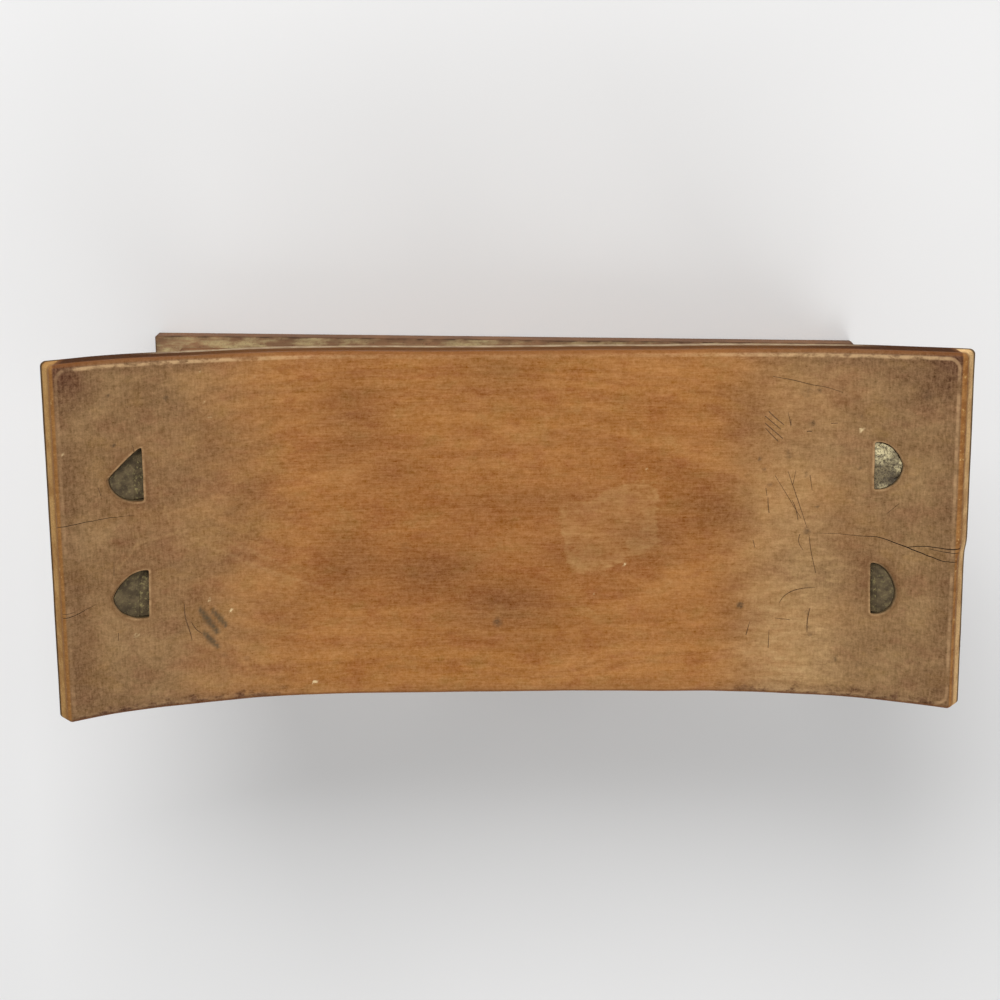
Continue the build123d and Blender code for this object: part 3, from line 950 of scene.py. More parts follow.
# Darker, purplish corners and edges.
near_end = wood.plus(end_inset, wood.vary(cloud, -10, 10))
near_side = wood.plus(side_inset, wood.vary(mottle, -5, 5))
corner_shade = wood.times(
    wood.ease(near_end, 55, 2), wood.ease(near_side, 55, 2), wood.ease(place_y, -100, 60, 0.6, 1.1)
)
end_shade = wood.ease(wood.plus(end_inset, wood.vary(blush, -6, 6)), 26, 3, 0, 0.45)
edge_shade = wood.times(wood.ease(side_inset, 14, 2), wood.ease(end_inset, 190, 60, 0.15, 0.5))
front_shade = wood.times(
    wood.ease(near_side, 9, 0), wood.ease(end_inset, 175, 110), wood.ease(place_y, 0, -50)
)
edges = wood.most(edge_shade, end_shade)
edges = wood.most(corner_shade, edges, front_shade)
wood.coat(wood.times(edges, 0.85), paint(86, 56, 40))

# Fine figure: fibres and pores along the board, and the scraper's marks across it, which
# show most at the ends.
tone = wood.times(wood.vary(strand, 0.96, 1.04), wood.vary(mottle, 0.93, 1.07))
wood.colour = wood.tinted(wood.colour, tone)
scraped = wood.times(wood.vary(hatch, -8, 8), wood.line(toward_end, 0, 1, 0.4, 1))
threads = wood.times(wood.vary(fibre, -7, 7), wood.line(toward_end, 0, 1, 1, 0.4))
fine = wood.plus(scraped, threads, wood.vary(grit, -13, 13))
fine = wood.math("SUBTRACT", fine, wood.ease(pore, 0.65, 0.76, 0, 14))
wood.colour = wood.flecked(wood.colour, fine)

# The rubbed patch, dull and a little paler, and its soft edge.
rub_edge = wood.plus(wood.mark("rubbed"), wood.vary(strand, -1.4, 1.4), wood.vary(dent, -1.0, 1.0))
rub = wood.ease(rub_edge, -0.8, 1.4)
rubbed_share = wood.times(
    rub,
    wood.vary(mottle, 0.0, 0.45),
    wood.line(rub_edge, 2, 12, 1.1, 0.7),
    wood.vary(strand, 0.5, 1.3),
)
wood.coat(rubbed_share, paint(184, 146, 96))

# Stains, soot, scrapes, and pale specks among which are painted glints, each broken up by the wood's
# own dents or grit.
for mark, broken, start, end, share, tint in (
    ("stain", wood.line(dent, 0.3, 0.6, 0.5, 1.1), 0.1, 0.9, 0.8, paint(72, 56, 40)),
    ("smear", wood.line(grit, 0.3, 0.6, 0.5, 1.1), 0.0, 0.9, 0.85, paint(74, 64, 48)),
    ("scrape", wood.line(dent, 0.3, 0.6, 0.2, 1.0), 0.1, 0.9, 0.22, paint(190, 152, 104)),
    ("speck", wood.line(dent, 0.35, 0.55, 0.3, 1.2), 0.15, 0.8, 0.9, paint(216, 190, 144)),
):
    strength = wood.times(wood.mark(mark), broken)
    wood.coat(wood.ease(strength, start, end, 0, share), tint)

# The long sides: a painted glint where the top rolls over, strongest towards the corners and at the
# back, then a dark polished rim, and pale along their lower edge and underneath, partly dry wood and
# partly a painted highlight.
worn_line = wood.mark("worn_line")
# Painted glint along the rolled edge of the top.
bright = wood.times(
    wood.ease(worn_line, 5.2, 3.8),
    wood.ease(worn_line, 1.8, 3.0),
    wood.ease(from_middle, 60, 200, 0.2, 1.0),
    wood.ease(mottle, 0.38, 0.58, 0.15, 1.0),
    wood.ease(place_y, -60, 60, 0.2, 1.0),
    wood.ease(end_inset, 4, 12),
    0.5,
)
wood.coat(bright, paint(214, 178, 132))
wood.coat(wood.ease(side_inset, 2.4, 1.2, 0, 0.5), paint(128, 80, 42))
on_side = wood.ease(end_inset, 1.5, 6)
wood.coat(wood.times(wood.ease(below, 1.6, 4.0), on_side, 0.95), paint(118, 72, 32))
handled = wood.mix(wood.ease(end_inset, 130, 50), paint(98, 60, 26), paint(66, 36, 14))
handled = wood.tinted(handled, wood.vary(mottle, 0.85, 1.15))
wood.coat(wood.times(wood.ease(below, 3.5, 9.0), on_side, 0.95), handled)
# Pale along the lower edge of the sides and underneath: partly dry wood, partly a painted highlight on
# the lower edge.
low_down = wood.ease(wood.plus(below, wood.vary(cloud, -1.5, 1.5)), 17.5, 21.5)
pale_dry_and_lit = wood.blend(mottle, paint(150, 124, 96), paint(180, 158, 128))
pale_dry_and_lit = wood.tinted(pale_dry_and_lit, tone)
wood.coat(wood.times(low_down, wood.ease(end_inset, 45, 85), 0.9), pale_dry_and_lit)

# The end faces are golden end grain, duller at the left, lighter low down, with flecks and a dark
# lower edge. A painted glint runs along the top of each, strongest at the right.
end_grain = wood.grain((3, 0.9, 0.9), 4, 0.7, 2.2)
dull_end = wood.blend(blush, paint(186, 138, 80), paint(216, 170, 106), 0.36, 0.6)
bright_end = wood.blend(blush, paint(188, 146, 96), paint(228, 188, 132), 0.36, 0.6)
at_right = wood.ease(place_x, -100, 100)
under_arris = wood.mix(at_right, paint(150, 104, 58), paint(124, 82, 44))
under_arris = wood.mix(wood.ease(mottle, 0.4, 0.6, 0, 0.4), under_arris, paint(176, 130, 76))
golden = wood.mix(at_right, dull_end, bright_end)
golden = wood.mix(wood.ease(below, 3.5, 12), under_arris, golden)
golden = wood.mix(wood.ease(end_grain, 0.62, 0.38, 0, 0.45), golden, paint(124, 78, 36))
golden = wood.mix(wood.ease(dent, 0.58, 0.68, 0, 0.4), golden, paint(214, 180, 118))
golden = wood.mix(wood.ease(below, 19.5, 23.0, 0, 0.85), golden, paint(62, 44, 28))
golden = wood.tinted(golden, wood.line(place_x, -280, 280, 0.82, 1.17))
wood.coat(wood.ease(end_inset, 2.2, 0.6), golden)
# Painted glint along the top arris of each end.
arris = wood.times(
    wood.ease(worn_line, 5.0, 3.8),
    wood.ease(worn_line, 1.8, 3.0),
    wood.ease(end_inset, 12, 7),
    wood.line(at_right, 0, 1, 0.5, 1.1),
    wood.ease(mottle, 0.3, 0.6, 0.35, 1.0),
    wood.ease(blush, 0.38, 0.58, 0.25, 1.0),
    0.5,
)
wood.coat(arris, paint(184, 148, 108))

# Dust and dirt in the mortises, a painted brown shade round their mouths, and their pale chipped lips.
dirty = wood.mark("in_mouth")
lip = wood.mark("lip")
# Painted shade round each mortise's mouth.
wood.coat(wood.ease(lip, 5.5, 1.0, 0, 0.35), paint(104, 70, 42))
chipped = wood.times(wood.ease(lip, 2.0, 0.6), wood.line(mottle, 0.35, 0.6, 0.1, 1.0), 0.55)
wood.coat(chipped, paint(190, 154, 112))
dust = wood.blend(dent, paint(66, 53, 36), paint(92, 76, 52))
wood.coat(wood.ease(dirty, 0.15, 0.75), dust)

rough = wood.plus(
    wood.line(mottle, 0.25, 0.75, 0.36, 0.52),
    wood.times(toward_end, 0.05),
    wood.times(wood.plus(rub, scuffed), 0.12),
    wood.ease(below, 3, 8, 0, 0.4),
    wood.times(dirty, 0.4),
)
wood.relief(fibre, 0.08)
wood.relief(dent, 0.12)
wood.relief(wood.times(hatch, toward_end), 0.09)
wood.relief(mottle, 0.2)
wood.done(rough)

# The splits' faces take dark dirt with painted shade in them; the scratches' a darker brown.
for material, deep, fair in (
    (split_dirt_and_shade, paint(52, 36, 24), paint(92, 68, 44)),
    (scored_wood, paint(98, 68, 38), paint(122, 90, 56)),
):
    dirt = Finish(material)
    fill = dirt.grain((1.5, 1.5, 1.5), 4)
    dirt.colour = dirt.blend(fill, deep, fair)
    dirt.relief(fill, 0.2)
    dirt.done(dirt.line(fill, 0, 1, 0.8, 0.95))

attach(seat, "root")
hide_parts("seat")

# ---------------------------------------------------------------- base
# A plinth, a thick block and a low step, cut as one from a single log and left plain and
# unpolished. A socket takes the drum's spigot, and blind mortises take the posts' feet.
plinth_half_length = 264.5
plinth_half_depth = 85.7
plinth_height = 20.0
block_half_length = 248.0
block_half_depth = 76.7
step_half_length = 199.5
step_half_depth = 58.7
step_height = 10.0
base_corner = 1.2
base_edge = 1.2
left_jut = 2.7  # how much farther the plinth stands out at its left end,
jut_start = 200.0  # and from how far out it grows
base_root = 8.0  # how far meshes run on past the faces that they meet in the base
foot_tenon = 32.0
peg_radius = 4.0
peg_length = 39.8
peg_drop = 16.0
peg_proud = 0.8
step_top = block_top + step_height


def carved_wood(
    name, fair, deep, run, gloss, edge=paint(182, 136, 84), wear=0.6, flecks=0.3, dusting=0.0
):
    """Carved wood with its fibres along one axis, darker and dirtier in its hollows. Its
    ends are dusty and flecked, and dust lies in patches on its upward faces."""
    finish = Finish(bpy.data.materials.new(name))
    finish.shader.inputs["Specular IOR Level"].default_value = 0.25

    def sized(across, along):
        return tuple(along if axis == run else across for axis in range(3))

    cloud = finish.grain(sized(36, 75), 4, 0.6, 2.3)
    strand = finish.grain(sized(2.6, 60), 4, 0.6, 7.1)
    fibre = finish.grain(sized(0.6, 18), 3, 0.6, 4.7)
    tool = finish.grain(sized(5, 9), 3, 0.5, 1.3)
    dent = finish.grain((2.0, 2.0, 2.0), 4, 0.7, 5.9)
    hollow = finish.mark("hollow")
    dusty = finish.mark("end")
    tone = finish.times(
        finish.line(strand, 0.25, 0.75, 0.82, 1.16),
        finish.line(fibre, 0.25, 0.75, 0.88, 1.12),
        finish.ease(dent, 0.62, 0.74, 1.0, 0.75),
    )
    finish.colour = finish.tinted(finish.blend(cloud, deep, fair), tone)
    finish.coat(finish.times(hollow, 0.75), paint(58, 42, 30))
    if dusting:
        up = finish.add("ShaderNodeNewGeometry", {}).outputs["Normal"]
        up = finish.add("ShaderNodeSeparateXYZ", {0: up}).outputs[2]
        lying = finish.times(finish.ease(up, 0.6, 0.95), dusting)
        finish.coat(finish.times(lying, 0.35), paint(170, 140, 108))
        patch = finish.ease(finish.grain((24, 7, 7), 4, 0.6, 8.3), 0.4, 0.66)
        patch = finish.times(lying, patch, finish.line(dent, 0.3, 0.65, 0.4, 1.3))
        finish.coat(patch, paint(196, 178, 130))
        finish.coat(finish.ease(dent, 0.56, 0.68, 0, 0.5), paint(92, 62, 42))
    worn = finish.times(finish.mark("worn"), finish.line(tool, 0.35, 0.6, 0.3, 1.0), wear)
    finish.coat(worn, edge)
    dust = finish.blend(tool, paint(66, 55, 39), paint(98, 84, 60))
    dust = finish.mix(finish.ease(dent, 0.52, 0.66, 0, flecks), dust, paint(150, 138, 92))
    finish.coat(dusty, dust)
    finish.relief(tool, 0.35)
    finish.relief(strand, 0.15)
    finish.relief(fibre, 0.06)
    dull = finish.most(finish.times(hollow, 0.25), finish.times(dusty, 0.4))
    finish.done(finish.plus(finish.line(cloud, 0.25, 0.75, gloss, gloss + 0.16), dull))
    return finish.material


def bent_out(piece):
    """How far each point stands out of, or into, the surface around it, in millimetres."""
    mesh = piece.data
    count = len(mesh.vertices)
    normals = np.empty(count * 3)
    mesh.vertices.foreach_get("normal", normals)
    normals = normals.reshape(count, 3)
    points = places_of(piece)
    ends = np.empty(len(mesh.edges) * 2, int)
    mesh.edges.foreach_get("vertices", ends)
    ends = ends.reshape(-1, 2)
    bulge = np.zeros(count)
    links = np.zeros(count)
    for one, other in ((0, 1), (1, 0)):
        here, there = ends[:, one], ends[:, other]
        run = points[there] - points[here]
        length = np.maximum(np.linalg.norm(run, axis=1), 0.05)
        np.add.at(bulge, here, -(run * normals[here]).sum(axis=1) / length)
        np.add.at(links, here, 1)
    bulge = bulge / np.maximum(links, 1)
    for _ in range(3):
        spread = np.zeros(count)
        np.add.at(spread, ends[:, 0], bulge[ends[:, 1]])
        np.add.at(spread, ends[:, 1], bulge[ends[:, 0]])
        bulge = (bulge + spread / np.maximum(links, 1)) / 2
    return bulge


def age(piece):
    """Marks the worn edges and the dirty hollows of a carved piece."""
    bulge = bent_out(piece)
    keep(piece, "worn", np.clip(bulge * 8, 0, 1))
    keep(piece, "hollow", np.clip(-bulge * 5, 0, 1))


def hewn(points, amount, size, seed):
    """Moves points by smooth noise, as a blade guided by hand would leave them."""
    shifts = [ripple(points, size, seed + 10 * axis) for axis in range(3)]
    return points + amount * np.stack(shifts, axis=1)


def base_tier(half_length, half_depth, height, top, seed, jut=0.0):
    """One tier of the base, hewn a little uneven but for its foot on the floor. Its left
    end may stand out farther."""
    slab, faces = rounded_slab(half_length, half_depth, height, base_corner, base_edge, 3.5, fine_grid)
    slab = slab + (0, 0, top)
    above_foot = np.clip(slab[:, 2:] / 8, 0, 1)
    for amount, size, tool_seed in ((0.5, 45, seed), (0.25, 12, seed + 2)):
        slab = slab * (1 - above_foot) + hewn(slab, amount, size, tool_seed) * above_foot
    slab[:, 0] -= jut * np.clip((-slab[:, 0] - jut_start) / (half_length - jut_start), 0, 1)
    return settle_askew(slab), faces


plinth = base_tier(
    plinth_half_length, plinth_half_depth, plinth_height, plinth_height, 3.0, left_jut
)
block_height = block_top - plinth_height + base_root
block = base_tier(block_half_length, block_half_depth, block_height, block_top, 4.0)
step = base_tier(step_half_length, step_half_depth, step_height + base_root, step_top, 5.0)
base = mesh_piece("base_tiers", *plinth)
base_wood = carved_wood(
    "base_wood",
    fair=paint(144, 102, 68),
    deep=paint(110, 74, 48),
    run=0,
    gloss=0.7,
    edge=paint(66, 42, 24),
    wear=1.2,
    dusting=0.8,
)
base.data.materials.append(base_wood)
carve(base, mesh_piece("block", *block), "UNION")
carve(base, mesh_piece("step", *step), "UNION")
base_socket = [
    disc(spigot_radius + joint_gap, step_top - spigot_length - joint_gap),
    disc(spigot_radius + joint_gap, step_top + root),
]
carve(base, mesh_piece("socket", *loft(base_socket)))


def peg_ring(corner, radius, along, count=20):
    """A round outline across a peg's line, at a distance in from the block's end."""
    side_x, side_y = corners[corner]
    circle = disc(radius, 0, count)
    middle = np.full(count, (block_half_length - along) * side_x)
    height = block_top - peg_drop + circle[:, 1]
    return settle_askew(np.stack((middle, side_y * foot_y + circle[:, 0], height), axis=1))


def bore_for_peg(piece, corner):
    """Bores a peg's hole in from the end of the base."""
    hole = [peg_ring(corner, peg_radius + 0.2, along) for along in (-root, peg_length)]
    carve(piece, mesh_piece("peg_hole", *loft(hole)))


for corner in corners:
    outline = half_round(joint_gap)
    mortise = [stand_up(corner, outline, up) for up in (-foot_tenon - joint_gap, base_root)]
    carve(base, mesh_piece("mortise", *loft(mortise)))
    bore_for_peg(base, corner)
smooth(base)
age(base)
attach(base, "root")
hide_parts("base")

# ---------------------------------------------------------------- drum
# A hollow column cut by eye from one piece of wood, swelling a little at the middle.
# Rows of half-moon windows are cut right through its wall, and rings incised at both
# ends. A spigot at each end sits in the base and in the seat's boss.
bore_radius = 28.0
drum_belly = 4.0
drum_arris = 0.8
drum_height = boss_bottom - step_top
drum_arc = ((drum_height / 2) ** 2 + drum_belly**2) / (2 * drum_belly)
drum_round = 168  # points around
incised_depth = 1.6
incised_half_width = 1.8
incised_half_floor = 0.4
incised_insets = (7.0, 13.0)
plain_inset = 17.0  # past the incised rings
window_rows = 4
windows_in_row = 8
window_radius = 11.0
window_stem = 4.5
window_splay = 2.7
band_height = 20.0
window_sway = 0.035  # how far windows stray round the drum, in size, tipping and height
window_growth = 0.7
window_tip = 0.09
window_rise = 0.9


def drum_surface(z):
    """Outer radius of the drum at a height."""
    from_middle = z - step_top - drum_height / 2
    return drum_end_radius + drum_belly - drum_arc + sqrt(drum_arc**2 - from_middle**2)


# How deep the outside is cut at each height: the incised rings, and none between them.
cuts = {step_top + drum_arris: 0.0, boss_bottom - drum_arris: 0.0}
for inset in incised_insets:
    for z in (step_top + inset, boss_bottom - inset):
        cuts.update({z - incised_half_width: 0.0, z - incised_half_floor: incised_depth})
        cuts.update({z + incised_half_floor: incised_depth, z + incised_half_width: 0.0})
for z in np.linspace(step_top + plain_inset, boss_bottom - plain_inset, 62):
    cuts[float(z)] = 0.0
outside = [disc(drum_surface(z) - deep, z, drum_round) for z, deep in sorted(cuts.items())]
outside = [hewn(ring, 0.45, 17, 8.0) * (1, 1, 0) + ring * (0, 0, 1) for ring in outside]

# Up over the lower spigot and the outside, over the upper spigot, and down the bore.
end_radius = drum_end_radius - drum_arris
low_end = step_top - spigot_length
high_end = boss_bottom + spigot_length
lower = (
    (bore_radius, low_end), (spigot_radius, low_end), (spigot_radius, step_top), (end_radius, step_top)
)
upper = (
    (end_radius, boss_bottom), (spigot_radius, boss_bottom), (spigot_radius, high_end),
    (bore_radius, high_end),
)
skin = [disc(radius, z, drum_round) for radius, z in lower]
skin += outside
skin += [disc(radius, z, drum_round) for radius, z in upper]
for z in np.linspace(boss_bottom, step_top, 24):
    skin.append(hewn(disc(bore_radius, float(z), drum_round), 0.5, 12, 2.0))
skin.append(skin[0])
drum_points, drum_faces = loft(skin, caps=False)
first = len(drum_points) - drum_round
drum_faces = [tuple(i - first if i >= first else i for i in face) for face in drum_faces]
drum = mesh_piece("drum_column", drum_points[:first], drum_faces)
leg_wood = carved_wood("leg_wood", paint(150, 104, 60), paint(104, 68, 40), 2, 0.42)
drum.data.materials.append(leg_wood)


def window_outline(grow):
    """A half-moon opening, with its flat side down, as points across and up."""
    radius = window_radius + grow
    path = [(-radius, -grow), (radius, -grow)]
    for angle in np.linspace(0, pi, 22):
        path.append((radius * cos(angle), window_stem + radius * sin(angle)))
    return path


def joined(shapes):
    """Several closed skins as one."""
    points = []
    faces = []
    for more_points, more_faces in shapes:
        start = len(points)
        points.extend(more_points)
        faces.extend(tuple(start + i for i in face) for face in more_faces)
    return points, faces


openings = []
row_pitch = (drum_height - 2 * band_height) / window_rows
for row in range(window_rows):
    row_middle = step_top + band_height + (row + 0.5) * row_pitch
    sill = row_middle - (window_radius + window_stem) / 2
    surface = drum_surface(row_middle)
    # Radius from the drum's middle, and how much larger the window is there than meant.
    splay = (
        (surface + 6, 4.2),
        (surface - 0.2, 0.55),
        (surface - 1.6, -0.1),
        (bore_radius - 3, -window_splay),
    )
    for column in range(windows_in_row):
        by_eye = [noise.noise(Vector((row * 3.7, column * 5.3, k * 7.1))) for k in range(4)]
        turn = 2 * pi / windows_in_row * (column + (row % 2) / 2)
        turn += by_eye[0] * window_sway
        rings = []
        for radius, grow in splay:
            ring = []
            for across, rise in window_outline(grow + by_eye[1] * window_growth):
                x = radius * cos(turn) - across * sin(turn)
                y = radius * sin(turn) + across * cos(turn)
                tipped = across * by_eye[2] * window_tip
                ring.append((x, y, sill + rise + tipped + by_eye[3] * window_rise))
            rings.append(hewn(np.array(ring), 0.3, 6, 4.0))
        openings.append(loft(rings))
carve(drum, mesh_piece("openings", *joined(openings)))
smooth(drum)
age(drum)
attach(drum, "root")
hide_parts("drum")

# ---------------------------------------------------------------- posts
# Four half-round posts of the drum's wood, flat sides towards it, with three rings cut
# into each end. A tenon at the foot sits in the base. The one at the head comes up
# through the seat and stops short of its top, hollowed by wear and dusty.
foot_chamfer = 0.6
post_arris = 0.8
hewn_from = 3.0  # the body is hewn by eye from here up, and to here below the shoulder
hewn_short = 0.9
groove_depth = 1.2
groove_width = 2.4
groove_edge = 0.5
groove_spacing = 6.0
groove_count = 3
groove_inset = 14.0
wedge_toe = 2.5
wedge_head = 7.0
wedge_tip_gap = 3.0
tenon_recess = 5.0
wedge_taper = (wedge_head - wedge_toe) / shoulder_depth
filled_corner = "back_right"  # where a filler covers the tenon


def slid_to(ring, corner, z):
    """Slides points along the post's axis to a height, or to heights, above the floor."""
    up = post_axes(corner)[-1]
    return ring + np.array(up) * ((z - ring[:, 2]) / up.z)[:, None]


def end_skin(ring, depth_at, corner, rings=9):
    """A dished end over a closed outline, as smaller and smaller rings inside it. It lies
    below the seat's top by the depth that another function gives."""
    middle = ring.mean(axis=0)
    inner = []
    for share in np.linspace(1, 0.06, rings):
        shrunk = middle + (ring - middle) * share
        inner.append(slid_to(shrunk, corner, seat_top(shrunk[:, 0]) - depth_at(shrunk)))
    return inner


def tenon_depth(corner):
    """Depth of a tenon's end below the seat: deepest along its flat side, and worn almost
    level with the seat on its round side, but for the one that the filler covers."""
    side_x, _ = corners[corner]
    worn_level = 0.0 if corner == filled_corner else 4.0

    def depth_at(points):
        from_flat = (points[:, 0] * side_x - mortise_x) / (tenon_radius + tenon_stem)
        dish = tenon_recess - worn_level * np.clip(from_flat, 0, 1) ** 1.3
        return dish + uneven(points, (0.25, 5, 7.7), (0.12, 1.8, 3.1))

    return depth_at


def body(grow=0.0):
    """The outline of a post's body, with softer corners than its tenons'."""
    return half_round(shoulder_width + grow, softness=7)


def show_end(piece):
    """Marks the dusty end of a piece that shows in the seat."""
    where = places_of(piece)
    keep(piece, "end", np.clip((where[:, 2] - seat_top(where[:, 0]) + 9) / 2, 0, 1))


for corner in corners:
    reach = post_length(corner)
    shoulder = reach - shoulder_depth
    neck = half_round(0.0)
    rings = [
        stand_up(corner, half_round(-foot_chamfer), -foot_tenon),
        stand_up(corner, neck, 1 - foot_tenon),
        slid_to(stand_up(corner, neck, 0), corner, block_top),
        slid_to(stand_up(corner, body(-post_arris), 0), corner, block_top),
    ]

    # How deep the body is cut at each height: the grooves, and none between them.
    cuts = {hewn_from: 0.0, shoulder - hewn_short: 0.0}
    groove_run = groove_spacing * (groove_count - 1) + groove_width
    grooves = [
        start + count * groove_spacing
        for start in (groove_inset, shoulder - groove_inset - groove_run)
        for count in range(groove_count)
    ]
    for low in grooves:
        high = low + groove_width
        cuts.update({low - groove_edge: 0.0, low + groove_edge: groove_depth})
        cuts.update({high - groove_edge: groove_depth, high + groove_edge: 0.0})
    plain_run = (grooves[groove_count - 1] + 6, grooves[groove_count] - 4)
    for height in np.linspace(*plain_run, 56):
        cuts[float(height)] = 0.0
    for height, deep in sorted(cuts.items()):
        ring = stand_up(corner, body(-deep), height)
        rings.append(hewn(ring, 0.5, 19, 5.0 + corners[corner][0]))

    # The shoulder under the seat, and the tenon above it, which narrows for its wedge.
    rings.append(stand_up(corner, body(-post_arris), shoulder))
    rings.append(tenon_ring(corner, neck, shoulder))
    tip = shoulder + wedge_tip_gap
    rings.append(tenon_ring(corner, neck, tip - 0.3))
    for height in np.linspace(tip, reach - tenon_recess - 2, 6):
        cut = wedge_toe + wedge_taper * (height - shoulder) + joint_gap
        rings.append(tenon_ring(corner, half_round(0.0, cut), height))
    rings += end_skin(rings[-1], tenon_depth(corner), corner)

    post = mesh_piece(f"post_{corner}_carved", *loft(rings))
    post.data.materials.append(leg_wood)
    bore_for_peg(post, corner)
    smooth(post)
    age(post)
    show_end(post)
    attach(post, "root")
    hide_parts(f"post_{corner}")

# ---------------------------------------------------------------- wedges
# A thin wedge of dark wood is driven down along the flat side of each tenon, and its
# end is left as it broke, level with the tenon's or a little below it.
wedge_play = 0.4  # at each side
joint_wood = carved_wood("joint_wood", paint(112, 88, 56), paint(78, 60, 38), 2, 0.6, flecks=0.6)


def wedge_ring(corner, height, reach):
    """Outline of a wedge at a height up the post."""
    thick = wedge_toe + wedge_taper * (height - (reach - shoulder_depth))
    near = tenon_radius - wedge_play
    far = sqrt(tenon_radius**2 - max(thick - tenon_stem, 0) ** 2) - wedge_play
    path = np.array([(0, -near), (0, near), (thick, far), (thick, -far)])
    sides = []
    for side, count in enumerate((24, 8, 24, 8)):
        start, end = path[side], path[(side + 1) % len(path)]
        sides.append(np.linspace(start, end, count, endpoint=False))
    return tenon_ring(corner, np.concatenate(sides), height)


def wedge_depth(points):
    """Depth of a wedge's broken end below the seat's top."""
    return tenon_recess - 0.4 + uneven(points, (0.3, 4, 2.2), (0.2, 1.5, 5.1))


for corner in corners:
    reach = post_length(corner)
    tip = reach - shoulder_depth + wedge_tip_gap + 0.3
    heights = np.linspace(tip, reach - tenon_recess - 1, 8)
    rings = [wedge_ring(corner, height, reach) for height in heights]
    rings += end_skin(rings[-1], wedge_depth, corner, rings=7)
    wedge = mesh_piece(f"wedge_{corner}_split", *loft(rings))
    wedge.data.materials.append(joint_wood)
    smooth(wedge)
    age(wedge)
    show_end(wedge)
    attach(wedge, "root")
    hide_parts(f"wedge_{corner}")

# ---------------------------------------------------------------- pegs
# Whittled pegs of the wedges' dark wood, driven in from the ends of the base through the
# feet of the posts, and cut off a little proud.
peg_rings = (  # radius, and how far in from the block's end
    (peg_radius - 0.9, -peg_proud),
    (peg_radius - 0.1, -peg_proud + 0.5),
    (peg_radius - 0.1, peg_length - peg_proud),
)
for corner in corners:
    rings = [hewn(peg_ring(corner, radius, along), 0.25, 5, 6.0) for radius, along in peg_rings]
    peg = mesh_piece(f"peg_{corner}_whittled", *loft(rings))
    peg.data.materials.append(joint_wood)
    smooth(peg)
    age(peg)
    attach(peg, "root")
    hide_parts(f"peg_{corner}")

# ---------------------------------------------------------------- filler
# The back right mortise was packed with a pale paste, which dried crusty, shrank from
# the sides and lost crumbs.
filler_lift = 0.6  # of its bottom over the tenon's end
rim_depth = 1.6  # of the crust's edge below the seat's top


def crust_depth(points):
    """Depth of the filler's crust below the seat's top: deepest towards the front, where
    it lost most, and highest near its back left corner."""
    x, y, _ = points.T
    gone = np.exp(-(((x - 243) / 10) ** 2) - ((y - 32) / 10) ** 2)
    left = np.exp(-(((x - 237) / 9) ** 2) - ((y - 50) / 8) ** 2)
    lumps = uneven(points, (0.45, 4, 1.9), (0.35, 1.6, 6.3))
    pits = np.clip(ripple(points, 2.6, 4.9) - 0.15, 0, 1) * 2.5
    return 1.1 + 2.0 * gone - 0.9 * left + lumps + pits


reach = post_length(filled_corner)
outline = half_round(0.0, count=150)
rings = [tenon_ring(filled_corner, outline, reach - tenon_recess + filler_lift)]
rings.append(hewn(tenon_ring(filled_corner, outline, reach - rim_depth), 0.5, 3, 2.0))
rings += end_skin(rings[-1], crust_depth, filled_corner, rings=26)
filler = mesh_piece("mortise_filler_crust", *loft(rings))
crust = Finish(bpy.data.materials.new("pale_filler"))
lump = crust.grain((2.4, 2.4, 2.4), 5, 0.75, 2.1)
crumb = crust.grain((1.2, 1.2, 1.2), 3, 0.7, 7.7)
crust.colour = crust.blend(lump, paint(78, 65, 44), paint(134, 119, 86), 0.34, 0.66)
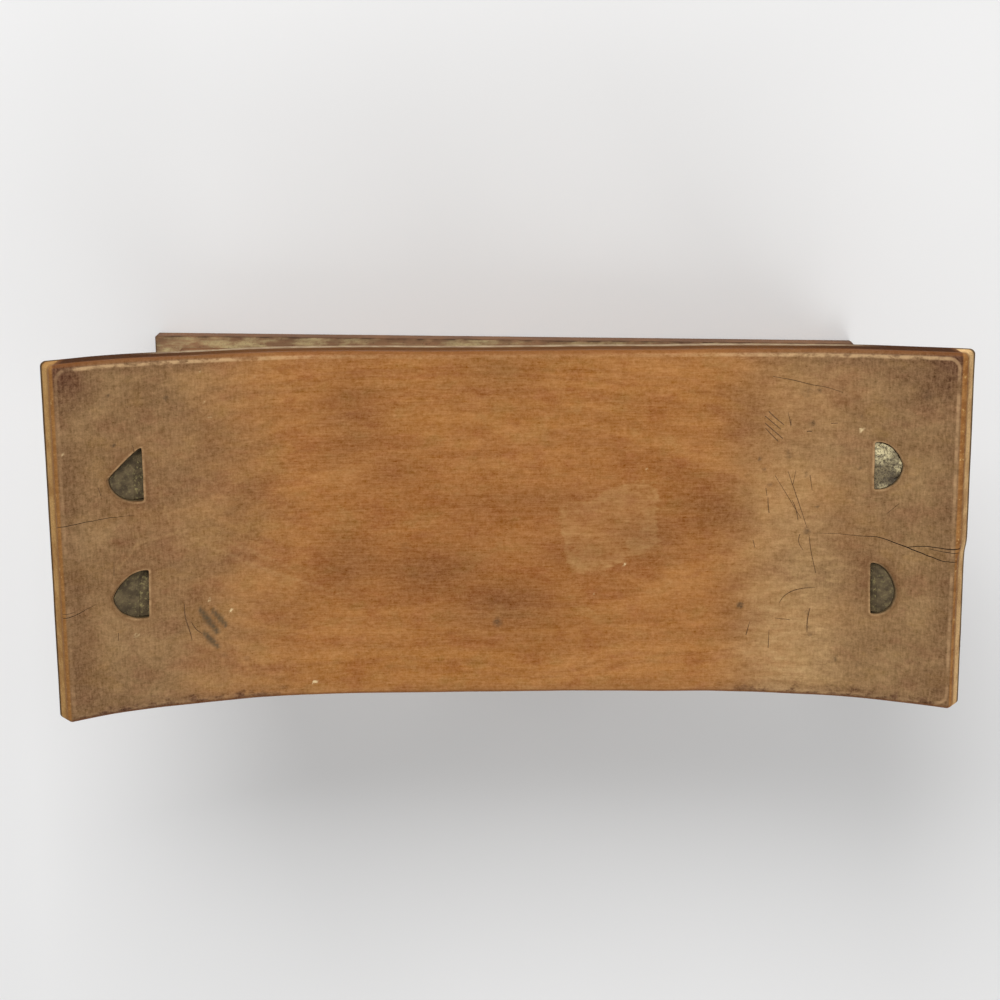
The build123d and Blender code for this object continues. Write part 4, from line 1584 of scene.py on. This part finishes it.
# Cream patches on the crust: the pale paste, with a painted highlight on it.
cream_and_glint = crust.times(crust.mark("cream_and_glint"), crust.ease(lump, 0.36, 0.56))
crust.coat(cream_and_glint, paint(218, 204, 158))
crust.coat(crust.ease(crumb, 0.5, 0.6, 0, 0.8), paint(66, 53, 34))
crust.coat(crust.mark("sunk"), paint(52, 42, 30))
crust.relief(lump, 0.5)
crust.relief(crumb, 0.25)
crust.done(crust.vary(lump, 0.55, 0.85))
filler.data.materials.append(crust.material)
smooth(filler, 60)
where = places_of(filler)
keep(filler, "sunk", np.clip((seat_top(where[:, 0]) - where[:, 2] - 2.2) / 1.6, 0, 1))
keep(filler, "cream_and_glint", spots(where, [(236, 50, 7.0, 0.9), (247, 42, 5.0, 0.6), (238, 26, 4.0, 0.5)]))
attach(filler, "root")
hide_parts("mortise_filler")

# ---------------------------------------------------------------- floor and light
# A plain pale floor under soft studio light: a broad lamp above and behind, a weaker
# one from the front, and an even pale room. Metres.
floor_half = 6.0
floor_corners = [(-1, -1), (1, -1), (1, 1), (-1, 1)]
floor_mesh = bpy.data.meshes.new("floor")
floor_mesh.from_pydata(
    [(floor_half * x, floor_half * y, 0) for x, y in floor_corners], [], [(0, 1, 2, 3)]
)
floor = bpy.data.objects.new("floor", floor_mesh)
bpy.context.scene.collection.objects.link(floor)
floor_paint = bpy.data.materials.new("floor_paint")
pale = Finish(floor_paint)
haze = pale.grain((300, 300, 300), 2)
pale.colour = pale.mix(haze, paint(226, 226, 226), paint(232, 232, 232))
pale.done(pale.line(haze, 0, 1, 0.7, 0.8))
floor_mesh.materials.append(floor_paint)
floor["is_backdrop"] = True

room = bpy.data.worlds.new("room")
room.use_nodes = True
room.node_tree.nodes["Background"].inputs["Color"].default_value = (1, 1, 1, 1)
room.node_tree.nodes["Background"].inputs["Strength"].default_value = 0.45
bpy.context.scene.world = room


def lamp(name, place, aim, size, power):
    """A square soft lamp that faces a point."""
    light = bpy.data.lights.new(name, "AREA")
    light.size = size
    light.energy = power
    stand = bpy.data.objects.new(name, light)
    bpy.context.scene.collection.objects.link(stand)
    stand.location = place
    stand.rotation_euler = (Vector(aim) - Vector(place)).to_track_quat("-Z", "Y").to_euler()


lamp("lamp_back", (-0.4, 1.5, 1.9), (0, 0, 0.25), 1.2, 42)
lamp("lamp_front", (0.6, -1.6, 1.6), (0, 0, 0.2), 1.6, 16)
bpy.context.scene.view_settings.view_transform = "Standard"

low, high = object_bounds()
